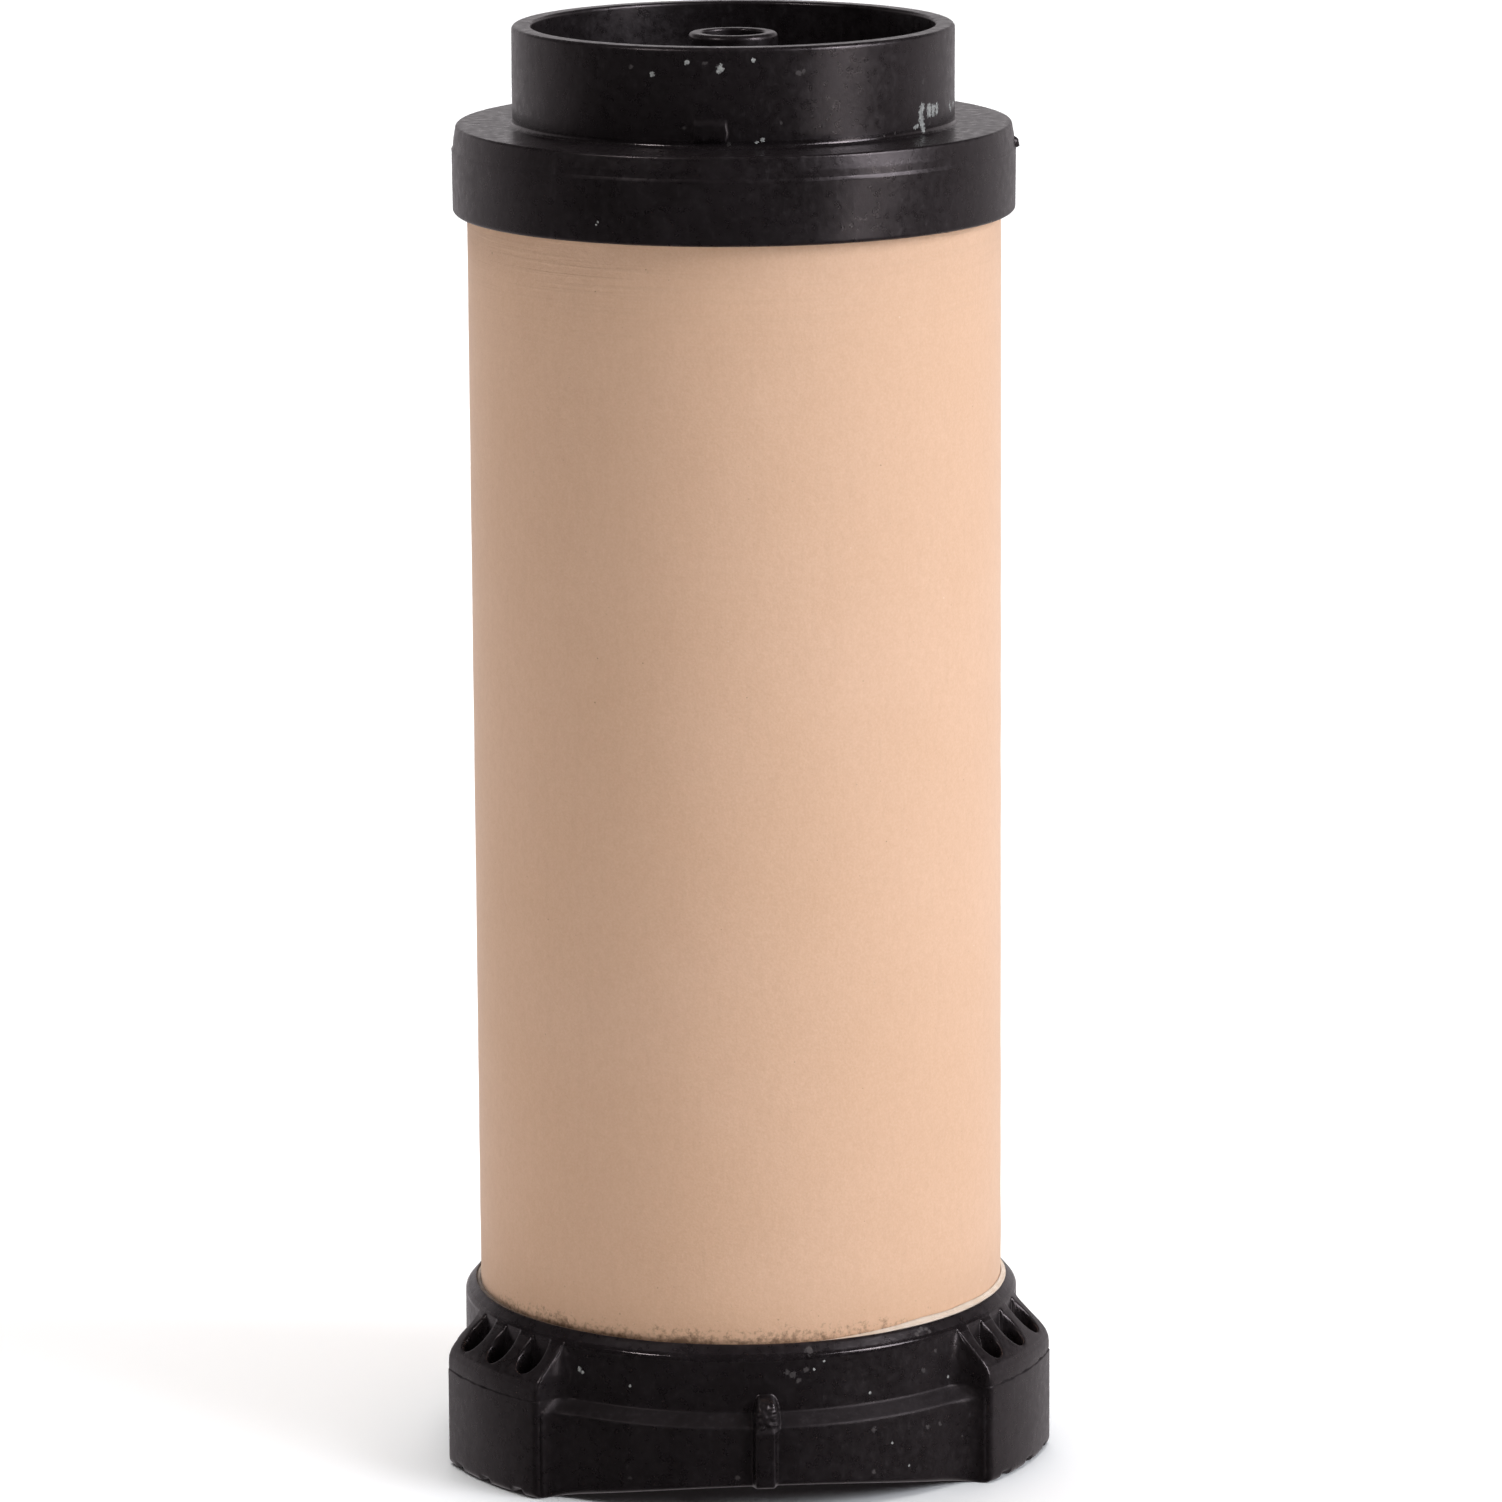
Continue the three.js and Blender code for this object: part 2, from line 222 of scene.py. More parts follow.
def unevenness(azimuth, height, seed, grain, count=14):
    """Smooth unevenness, about -1 to 1, in lumps of about grain millimetres. It closes round the axis."""
    dice = np.random.default_rng(seed)
    most = 2 * math.pi * BARREL_RADIUS / grain
    total = 0
    for _ in range(count):
        turns = int(dice.integers(0, max(2, int(most))))
        rise = math.sqrt(max(0, most**2 - turns**2)) / BARREL_RADIUS * dice.choice([-1, 1])
        phase = dice.uniform(0, 2 * math.pi)
        total = total + np.sin(np.radians(azimuth) * turns + height * rise + phase)
    return total / math.sqrt(count)


def clamp(value):
    return np.clip(value, 0, 1)


def smooth(value):
    """A smooth step from 0 to 1 while value goes from 0 to 1."""
    value = clamp(value)
    return value * value * (3 - 2 * value)


def signed(azimuth):
    """Azimuth from -180 to 180."""
    return (np.asarray(azimuth) + 180) % 360 - 180


def window(value, half_width, edge):
    """1 while value is within half_width of 0, with soft edges."""
    return smooth((half_width - np.abs(value)) / edge + 0.5)


# Meshes --------------------


def add_object(name, data):
    """A new object in the scene, made of a mesh, a light or a camera."""
    item = bpy.data.objects.new(name, data)
    bpy.context.scene.collection.objects.link(item)
    return item


def mesh_object(name, vertices, faces, material):
    mesh = bpy.data.meshes.new(name)
    mesh.from_pydata((np.asarray(vertices) * MM).tolist(), [], faces)
    mesh.polygons.foreach_set("use_smooth", [True] * len(mesh.polygons))
    mesh.materials.append(material)
    mesh.validate()
    return add_object(name, mesh)


def around(azimuth, radius, height):
    """Points at azimuths, radii and heights, as an array with x, y, z last."""
    angle = np.radians(azimuth)
    shape = np.broadcast(angle, radius, height).shape
    return np.stack([
        np.broadcast_to(radius * np.sin(angle), shape),
        np.broadcast_to(-radius * np.cos(angle), shape),
        np.broadcast_to(height, shape),
    ], axis=-1)


def grid_faces(columns, rows, closed_rows, poles):
    """Faces of a grid whose columns close round the axis. Where poles says so, an end row is one point."""
    index = np.arange(columns * rows).reshape(columns, rows)
    if poles:
        index[:, 0] = index[0, 0]
        index[:, -1] = index[0, -1]
    right = np.roll(index, -1, axis=0)
    if closed_rows:
        quads = np.stack([index, right, np.roll(right, -1, axis=1), np.roll(index, -1, axis=1)], axis=-1)
    else:
        quads = np.stack([index[:, :-1], right[:, :-1], right[:, 1:], index[:, 1:]], axis=-1)
    faces = quads.reshape(-1, 4).tolist()
    return [list(dict.fromkeys(face)) for face in faces]


def tube_faces(rings):
    """Side faces of a tube from its rings of vertex numbers, one ring to a row."""
    turned = np.roll(rings, -1, axis=1)
    return np.stack([rings[:-1], rings[1:], turned[1:], turned[:-1]], axis=-1).reshape(-1, 4)


def loft(name, points, material, closed_rows=True, poles=False):
    """A closed mesh from points (columns, rows, 3)."""
    columns, rows = points.shape[:2]
    faces = grid_faces(columns, rows, closed_rows, poles)
    used = sorted({index for face in faces for index in face})
    number = {index: place for place, index in enumerate(used)}
    faces = [[number[index] for index in face] for face in faces]
    return mesh_object(name, points.reshape(-1, 3)[used], faces, material)


def as_rows(line):
    """A profile's radii and heights, each as one row of a grid."""
    return line[:, 0][None, :], line[:, 1][None, :]


def place(piece, node, slot):
    """Hides the CAD node that the piece stands for and has the piece ride on the one body. The slot is not
    used.
    """
    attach(piece, "root")
    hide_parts(node)
    return piece


# Node trees and materials --------------------


class NodeTree:
    """Short calls for the shader nodes that are used here."""

    def __init__(self, tree):
        self.tree = tree

    def node(self, kind, inputs, **settings):
        """The outputs of a new node, which gets its settings, and its inputs by name or number."""
        node = self.tree.nodes.new(kind)
        for name, value in settings.items():
            setattr(node, name, value)
        for name, value in inputs.items():
            self.feed(node.inputs[name], value)
        return node.outputs

    def feed(self, socket, value):
        """Links a socket to another one, or gives it a constant."""
        if isinstance(value, bpy.types.NodeSocket):
            self.tree.links.new(value, socket)
        else:
            socket.default_value = value

    def calc(self, operation, *values):
        return self.node("ShaderNodeMath", dict(enumerate(values)), operation=operation)[0]

    def vector(self, operation, *values):
        return self.node("ShaderNodeVectorMath", dict(enumerate(values)), operation=operation)

    def times(self, product, *others):
        for other in others:
            product = self.calc("MULTIPLY", product, other)
        return product

    def between(self, value, low, high, to_low=0.0, to_high=1.0, how="LINEAR"):
        """Maps value from low..high to to_low..to_high, without going past them."""
        inputs = {"Value": value, "From Min": low, "From Max": high, "To Min": to_low, "To Max": to_high}
        return self.node("ShaderNodeMapRange", inputs, interpolation_type=how)["Result"]

    def coordinate(self, vector, axis):
        return self.node("ShaderNodeSeparateXYZ", {0: vector})[axis]


class Look(NodeTree):
    """A material's nodes, and the colour that builds up in them. Places in it are in metres."""

    def __init__(self, name, roughness, **constants):
        self.material = bpy.data.materials.new(name)
        self.material.use_nodes = True
        super().__init__(self.material.node_tree)
        self.shader = self.tree.nodes["Principled BSDF"].inputs
        self.place = self.node("ShaderNodeTexCoord", {})["Object"]
        self.height = self.coordinate(self.place, "Z")
        self.shader["Roughness"].default_value = roughness
        for socket, value in constants.items():
            self.shader[socket.replace("_", " ")].default_value = value

    def stretched(self, x, y, z):
        """The place, with each direction multiplied."""
        return self.vector("MULTIPLY", self.place, (x, y, z))[0]

    def noise(self, size, detail=3, place=None, roughness=0.55):
        """Noise with lumps of about size millimetres."""
        scale = 1 / (size * MM)
        inputs = {"Vector": place or self.place, "Scale": scale, "Detail": detail, "Roughness": roughness}
        return self.node("ShaderNodeTexNoise", inputs)["Fac"]

    def cells(self, size):
        """Distance to the nearest of scattered points, in cells, and three random numbers for each cell."""
        found = self.node("ShaderNodeTexVoronoi", {"Vector": self.place, "Scale": 1 / (size * MM)})
        return found["Distance"], self.node("ShaderNodeSeparateColor", {0: found["Color"]})

    def mix(self, share, first, second):
        """A colour between two, each of which is a socket or (red, green, blue)."""
        inputs = {0: share, 6: first, 7: second}
        for index in (6, 7):
            if not isinstance(inputs[index], bpy.types.NodeSocket):
                inputs[index] = (*inputs[index], 1.0)
        return self.node("ShaderNodeMix", inputs, data_type="RGBA")[2]

    def start(self, share, first, second):
        """The colour starts between these two."""
        self.colour = self.mix(share, first, second)

    def tint(self, share, other):
        """Lays another colour over the colour so far, for a share from 0 to 1."""
        self.colour = self.mix(share, self.colour, other)

    def facing(self, azimuth):
        """The cosine of the angle round the axis between a point and an azimuth."""
        level = self.vector("MULTIPLY", self.place, (1, 1, 0))[0]
        way = self.vector("NORMALIZE", level)[0]
        return self.vector("DOT_PRODUCT", way, around(azimuth, 1.0, 0.0))["Value"]

    def spots(self, marks, raggedness=0.9, grain=0.35):
        """1 inside ragged spots, given as (azimuth, radius, height, size), and 0 elsewhere."""
        ragged = self.between(self.noise(grain, 4), 0.3, 0.7, -raggedness, raggedness)
        nearest = None
        for azimuth, radius, height, size in marks:
            offset = self.vector("DISTANCE", self.place, around(azimuth, radius, height) * MM)["Value"]
            share = self.calc("DIVIDE", offset, size * MM)
            nearest = share if nearest is None else self.calc("MINIMUM", nearest, share)
        return self.between(self.calc("ADD", nearest, ragged), 1.15, 0.75)

    def dust(self, cell, size, share):
        """Specks of about size millimetres in a share of the cells, which are cell millimetres wide."""
        distance, chance = self.cells(cell)
        reach = self.between(chance[1], 0, 1, 0.25 * size / cell, 0.6 * size / cell)
        inside = self.between(self.calc("DIVIDE", distance, reach), 1.1, 0.7)
        return self.times(inside, self.calc("LESS_THAN", chance[0], share))

    def bump(self, *layers):
        """Chains bumps, each (height, depth in millimetres)."""
        linked = {}
        for height, depth in layers:
            inputs = {"Height": height, "Distance": depth * MM, "Strength": 1.0, **linked}
            linked = {"Normal": self.node("ShaderNodeBump", inputs)[0]}
        self.feed(self.shader["Normal"], linked["Normal"])

    def finish(self, roughness):
        self.feed(self.shader["Base Color"], self.colour)
        self.feed(self.shader["Roughness"], roughness)
        return self.material


def black_plastic(name, residue, faint_residue, polished_at, dull_between=None):
    """Moulded black plastic after years of use: dusty, scuffed, and polished along the edge at one height.

    What faces up between two heights, where dust settles, is duller.
    """
    look = Look(name, 0.4, Specular_Tint=(1.0, 0.86, 0.88, 1))
    blotches = look.noise(5, 4)
    mottle = look.noise(0.9)
    fine = look.noise(0.45, 5, roughness=0.7)
    grain = look.noise(0.18)
    look.start(look.between(blotches, 0.35, 0.65), (0.0072, 0.0054, 0.0058), (0.0108, 0.0084, 0.0092))
    look.tint(look.between(mottle, 0.5, 0.75, 0, 0.25), (0.026, 0.022, 0.024))
    look.tint(look.between(fine, 0.55, 0.8, 0, 0.26), (0.050, 0.044, 0.046))

    scuffs = look.noise(0.6, 4, look.stretched(1, 1, 0.2), 0.7)
    scuffed = look.times(look.between(scuffs, 0.6, 0.78), look.between(mottle, 0.4, 0.6), 0.3)
    look.tint(scuffed, (0.085, 0.077, 0.079))
    specks = look.calc("MAXIMUM", look.dust(2.6, 0.14, 0.35), look.dust(0.9, 0.07, 0.3))
    look.tint(look.times(specks, 0.38), (0.26, 0.235, 0.225))

    faint = look.spots(faint_residue, 0.7, 0.3)
    look.tint(look.times(faint, 0.28), (0.13, 0.12, 0.115))
    dried = look.spots(residue, 0.5, 0.22)
    cover = look.between(look.noise(0.3), 0.3, 0.6, 0.45, 0.9)
    look.tint(look.times(dried, cover), (0.42, 0.43, 0.41))
    look.bump((blotches, 0.10), (mottle, 0.008), (fine, 0.008), (grain, 0.005), (dried, 0.04))

    off_edge = look.calc("ABSOLUTE", look.calc("SUBTRACT", look.height, polished_at * MM))
    unpolished = look.between(off_edge, 0.2 * MM, 0.35 * MM, 0.5, 1)
    marked = look.times(look.calc("MAXIMUM", faint, dried), 0.3)
    roughness = look.calc("ADD", look.between(mottle, 0.3, 0.7, 0.24, 0.38), marked)
    roughness = look.times(roughness, unpolished)
    if dull_between:
        dusty = settled_dust(look, *dull_between)
        roughness = look.calc("ADD", roughness, look.times(dusty, 0.17))
        look.feed(look.shader["Specular IOR Level"], look.between(dusty, 0, 1, 0.5, 0.26))
    return look.finish(roughness)


def settled_dust(look, low, high):
    """1 on what faces up between two heights, and 0 elsewhere."""
    normal = look.node("ShaderNodeNewGeometry", {})["Normal"]
    faces_up = look.between(look.coordinate(normal, "Z"), 0.1, 0.35)
    above_low = look.between(look.height, (low - 0.2) * MM, low * MM)
    below_high = look.between(look.height, (high + 0.2) * MM, high * MM)
    return look.times(faces_up, above_low, below_high)


def fired_ceramic():
    """Porous peach ceramic, mottled and streaked, with turning lines near the top and grime low down."""
    look = Look("peach_ceramic", 0.8, Specular_IOR_Level=0.35, Sheen_Weight=0.2, Sheen_Roughness=0.4)
    drift = look.noise(24)
    mottle = look.noise(0.8, 5, roughness=0.7)
    grain = look.noise(0.22)
    look.start(look.between(drift, 0.35, 0.65), (0.715, 0.452, 0.296), (0.745, 0.480, 0.326))
    look.tint(look.between(mottle, 0.35, 0.65, 0, 0.35), (0.64, 0.39, 0.245))
    look.tint(look.between(grain, 0.4, 0.7, 0, 0.25), (0.84, 0.60, 0.43))

    streaks = look.noise(0.7, 4, look.stretched(1, 1, 0.18), 0.65)
    look.tint(look.between(streaks, 0.5, 0.8, 0, 0.2), (0.62, 0.385, 0.25))
    turning = look.noise(0.5, 2, look.stretched(0.03, 0.03, 1))
    near_top = look.between(look.height, (FLANGE_BOTTOM - 14) * MM, (FLANGE_BOTTOM - 2) * MM)
    turned = look.times(look.between(turning, 0.5, 0.7), near_top)
    look.tint(look.times(turned, 0.25), (0.64, 0.41, 0.27))

    dark_specks = look.calc("MAXIMUM", look.dust(2.2, 0.15, 0.45), look.dust(6, 0.28, 0.4))
    look.tint(look.times(dark_specks, 0.55), (0.27, 0.14, 0.075))
    look.tint(look.times(look.dust(4.1, 0.2, 0.35), 0.35), (0.92, 0.78, 0.64))

    def near_ring(reach, below=0.0):
        """0 at a reach above the bottom cap's ring, and 1 at the ring."""
        return look.between(look.height, (RING_TOP + reach) * MM, (RING_TOP - below) * MM)

    front = look.between(look.facing(CAMERA_AZIMUTH - 14), 0.3, 0.85, 0.1, 1)
    clusters = look.between(look.noise(5), 0.35, 0.65, 0.55, 1.15)
    gathered = look.times(near_ring(2.2, 0.2), clusters, front, 0.4)
    soil = look.calc("ADD", look.noise(0.5, 4, roughness=0.7), gathered)
    look.tint(look.between(soil, 0.68, 0.95, 0, 0.9), (0.085, 0.042, 0.024))
    look.tint(look.times(look.dust(0.8, 0.2, 0.3), near_ring(7), front, 0.6), (0.20, 0.10, 0.055))
    look.tint(look.times(near_ring(6), 0.3), (0.60, 0.36, 0.21))

    look.bump((mottle, 0.035), (grain, 0.02), (streaks, 0.012), (turned, 0.015))
    return look.finish(look.between(mottle, 0.3, 0.7, 0.82, 0.95))


def cured_adhesive():
    """Off-white potting resin, a little yellowed, with grime in its hollows."""
    look = Look("cured_adhesive", 0.45)
    lumps = look.noise(1.2, 4)
    grime = look.noise(0.5, 5, roughness=0.7)
    look.start(look.between(lumps, 0.35, 0.65), (0.78, 0.66, 0.55), (0.68, 0.55, 0.43))
    front_left = look.between(look.facing(CAMERA_AZIMUTH - 42), 0.5, 0.72, 0.0, 0.9)
    look.tint(front_left, (0.07, 0.05, 0.04))
    look.tint(look.between(grime, 0.55, 0.75, 0, 0.5), (0.28, 0.20, 0.13))
    look.bump((lumps, 0.06), (grime, 0.02))
    return look.finish(look.between(lumps, 0.3, 0.7, 0.35, 0.6))


def pressed_carbon():
    """Granules of activated carbon pressed into a block, some of them catching the light."""
    look = Look("pressed_carbon", 0.9)
    distance, chance = look.cells(0.9)
    look.start(chance[0], (0.006, 0.006, 0.007), (0.022, 0.022, 0.024))
    # Painted shade: each granule darkens towards its edge, in the gaps between granules.
    look.tint(look.between(distance, 0.35, 0.75, 0, 0.8), (0.003, 0.003, 0.003))
    look.bump((look.between(distance, 0, 0.8, 1, 0), 0.25), (look.noise(0.2), 0.05))
    return look.finish(look.between(chance[1], 0, 1, 0.55, 0.98))


def nonwoven_fabric():
    """White nonwoven felt of random fibres, thicker in clouds."""
    look = Look("nonwoven_felt", 0.9, Sheen_Weight=0.3, Sheen_Roughness=0.5)
    clouds = look.noise(4)
    along = look.noise(0.35, 4, look.stretched(1, 1, 0.12), 0.7)
    across = look.noise(0.35, 4, look.stretched(0.12, 0.12, 1), 0.7)
    fibres = look.calc("MAXIMUM", along, across)
    look.start(look.between(clouds, 0.35, 0.65), (0.80, 0.79, 0.75), (0.69, 0.68, 0.64))
    look.tint(look.between(fibres, 0.5, 0.7, 0, 0.5), (0.90, 0.89, 0.86))
    look.bump((clouds, 0.05), (fibres, 0.06))
    return look.finish(look.between(fibres, 0.4, 0.7, 0.8, 0.98))


def moulded_rubber():
    """Grey rubber with talc left on it from moulding."""
    look = Look("seal_rubber_grey", 0.7)
    talc = look.noise(1.8, 5, roughness=0.7)
    look.start(look.between(look.noise(6), 0.35, 0.65), (0.23, 0.24, 0.25), (0.30, 0.31, 0.32))
    look.tint(look.between(talc, 0.55, 0.75, 0, 0.5), (0.52, 0.52, 0.51))
    look.bump((talc, 0.02), (look.noise(0.2), 0.01))
    return look.finish(look.between(talc, 0.4, 0.7, 0.55, 0.85))


def screen_wire():
    """Pale plastic mesh, stained by what it holds back."""
    look = Look("screen_wire", 0.45)
    stain = look.noise(1.2, 4)
    look.start(look.between(stain, 0.4, 0.7), (0.66, 0.68, 0.70), (0.40, 0.35, 0.27))
    look.bump((look.noise(0.1, 2), 0.004))
    return look.finish(look.between(stain, 0.3, 0.7, 0.35, 0.6))


# Top cap --------------------


def columns_round(spacing, *fine):
    """Azimuths all the way round, closer together in each fine stretch (middle, half width, spacing)."""
    azimuths = [np.arange(-180, 180, spacing)]
    for middle, half_width, close in fine:
        azimuths.append(np.arange(middle - half_width, middle + half_width + close / 2, close))
    return np.unique(np.round(np.concatenate(azimuths), 3))


def top_cap_profile():
    outer, fine = 0.45, 0.25
    return profile([
        (SOCKET_RADIUS, FLANGE_BOTTOM, 0.15),
        (FLANGE_RADIUS - 0.05, FLANGE_BOTTOM, 0.35, 0.5),
        (FLANGE_RADIUS, PARTING_LINE - 0.5, 0, 0.7),
        (FLANGE_RADIUS, PARTING_LINE, 0, 0.08),
        (FLANGE_RADIUS - 0.11, PARTING_LINE + 0.22, 0, 0.08),
        (FLANGE_RADIUS - 0.16, PARTING_LINE + 0.9, 0, 0.1),
        (FLANGE_TOP_RADIUS, FLANGE_TOP, 0.3, outer),
        (COLLAR_RADIUS, FLANGE_TOP, 0.45, outer),
        (COLLAR_RADIUS, FLANGE_TOP + 2.8, 0, fine),
        (COLLAR_RADIUS, TOTAL_HEIGHT, 0.4, 0.6),
        (CUP_RADIUS, TOTAL_HEIGHT, 0.3, outer),
        (CUP_RADIUS - 0.2, CUP_FLOOR, 0.8, 0.7),
        (PORT_RADIUS + 0.15, CUP_FLOOR, 0.6, 1),
        (PORT_RADIUS, PORT_TOP, 0.42, 0.8),
        (PORT_BORE, PORT_TOP, 0.22, outer),
        (PORT_BORE, SCREEN_HIGH.z + BOND_GAP, 0, 1.2),
        (SCREEN_SEAT_RADIUS, SCREEN_HIGH.z + BOND_GAP, 0),
        (SCREEN_SEAT_RADIUS, TOP_LOW.z, 0.1),
        (SPIGOT_RADIUS, TOP_LOW.z, 0.2),
        (SPIGOT_RADIUS, WEB_UNDER, 0.3),
        (LOCATOR_RADIUS - LOCATOR_WALL, WEB_UNDER, 0.2),
        (LOCATOR_RADIUS - LOCATOR_WALL, WEB_UNDER - LOCATOR_RISE, 0.15),
        (LOCATOR_RADIUS, WEB_UNDER - LOCATOR_RISE, 0.15),
        (LOCATOR_RADIUS, WEB_UNDER, 0.15),
        (SOCKET_RADIUS, WEB_UNDER, 0.15),
    ])


def top_cap(material):
    """Flange, collar with its cup, and outlet port, with the flash, burr and pad that the mould left."""
    radius, height = as_rows(top_cap_profile())
    azimuth = columns_round(1.5, (NUB_AZIMUTH, 1.8, 0.12), (PAD_AZIMUTH, 6, 0.35))[:, None]
    outside = (radius > FLANGE_TOP_RADIUS - 0.4) & (height > FLANGE_BOTTOM)
    on_collar = (np.abs(radius - COLLAR_RADIUS) < 0.2) & (height > FLANGE_TOP)

    patchy = clamp(unevenness(azimuth, 0, 11, 4))
    flash = FLASH_PROUD * patchy * np.exp(-(((height - PARTING_LINE) / 0.07) ** 2)) * outside

    across = signed(azimuth - NUB_AZIMUTH) * math.radians(FLANGE_RADIUS)
    dome = clamp(1 - (across / NUB_RADIUS) ** 2 - ((height - NUB_HEIGHT) / NUB_RADIUS) ** 2)
    lumps = 1 + 0.07 * unevenness(azimuth, height, 12, 0.6)
    nub = NUB_PROUD * np.sqrt(dome) * lumps * outside

    half_width = 0.5 * (PAD_WIDTH + 0.1 * unevenness(azimuth, height, 13, 1.2))
    wide = window(signed(azimuth - PAD_AZIMUTH) * math.radians(COLLAR_RADIUS), half_width, 0.28)
    pad = PAD_PROUD * wide * window(height - PAD_HEIGHT, PAD_HALF_HEIGHT, 0.2) * on_collar
    wobble = 0.012 * unevenness(azimuth, height, 14, 9)
    return loft("top_cap_shell", around(azimuth, radius + flash + nub + pad + wobble, height), material)


# Bottom cap --------------------


FACE_REACH = 13.4  # how far the even columns go from a lug's middle
SLOT_EDGE = 2.5  # from a slot's middle to its side, in degrees


def face_azimuths():
    """Azimuths from a lug's middle towards its side, close together at the slots' edges."""
    coarse = np.arange(0, FACE_REACH, 0.65)
    edges = [SLOT_PITCH * k + side * SLOT_EDGE for k in (0, 1) for side in (-1, 1)]
    close = [np.arange(edge - 0.72, edge + 0.73, 0.18) for edge in edges]
    azimuths = np.unique(np.round(np.concatenate([coarse, *close]), 2))
    azimuths = azimuths[(azimuths >= 0) & (azimuths <= FACE_REACH)]
    apart = np.concatenate([[True], np.diff(azimuths) > 0.1])
    return azimuths[apart]


def panel_azimuths():
    """Azimuths from well off a lug to the panel's middle, close together at the rib's edges."""
    coarse = np.arange(30, HALF_SECTOR - 5, 1.9)
    return np.concatenate([coarse, np.linspace(HALF_SECTOR - 4.6, HALF_SECTOR, 22)])


FACE = face_azimuths()
PANEL = panel_azimuths()
CORNER = np.linspace(0, 1, 6)
SIDE = np.linspace(0, 1, 6)[1:]
SWEEP = np.linspace(0, 1, 12)[1:]
BLEND = np.linspace(0, 1, 7)[1:-1]


def curve(first, bend, last, shares):
    """Points of a quadratic curve, each [radius, azimuth]."""
    shares = shares[:, None]
    first, bend, last = (np.array(point, float) for point in (first, bend, last))
    return (1 - shares) ** 2 * first + 2 * shares * (1 - shares) * bend + shares**2 * last


def half_plan(lug_radius, panel_radius, height):
    """One row of half a sector: [radius, azimuth] for each column from a lug's middle to the panel's."""
    step = max(0.0, lug_radius - panel_radius)

    def side(radius):
        return LUG_HALF_ANGLE + (LUG_RADIUS - max(radius, SKIRT_RADIUS - 4)) * SIDE_DRAFT

    over_ledge = float(smooth((height - LEDGE_LIP + 0.3) / 1.3))
    on_slope = float(smooth((height - LEDGE_TOP) / 1.5))
    rounding = min(0.5 - 0.2 * on_slope, 0.36 * step)
    swept = min(step * (0.8 - 0.05 * over_ledge), 2.2)
    reach = 0.8 + float(smooth(step / 1.5)) * (7.0 - 3.6 * over_ledge)
    turn = math.degrees(rounding / LUG_RADIUS)
    below_corner = lug_radius - rounding
    above_sweep = panel_radius + swept
    corner = curve(
        (lug_radius, side(lug_radius) - turn - 0.05),
        (lug_radius, side(lug_radius)),
        (below_corner, side(below_corner) + 0.02),
        CORNER,
    )
    start = np.array([below_corner, side(below_corner) + 0.02])
    end = np.array([above_sweep, side(above_sweep) + 0.08])
    wall = start + (end - start) * SIDE[:, None]
    landing = side(panel_radius) + reach
    sweep = curve(end, (panel_radius, side(panel_radius) + 0.15), (panel_radius, landing), SWEEP)
    blend = landing + (PANEL[0] - landing) * BLEND
    return np.concatenate([
        np.stack([np.full_like(FACE, lug_radius), FACE], axis=1),
        corner,
        wall,
        sweep,
        np.stack([np.full_like(blend, panel_radius), blend], axis=1),
        np.stack([np.full_like(PANEL, panel_radius), PANEL], axis=1),
    ])


def radius_at(height, corners):
    """Radius of an outline, given as corners going up, at each height."""
    line = profile(corners, closed=False)
    return np.interp(height, line[:, 1], line[:, 0])


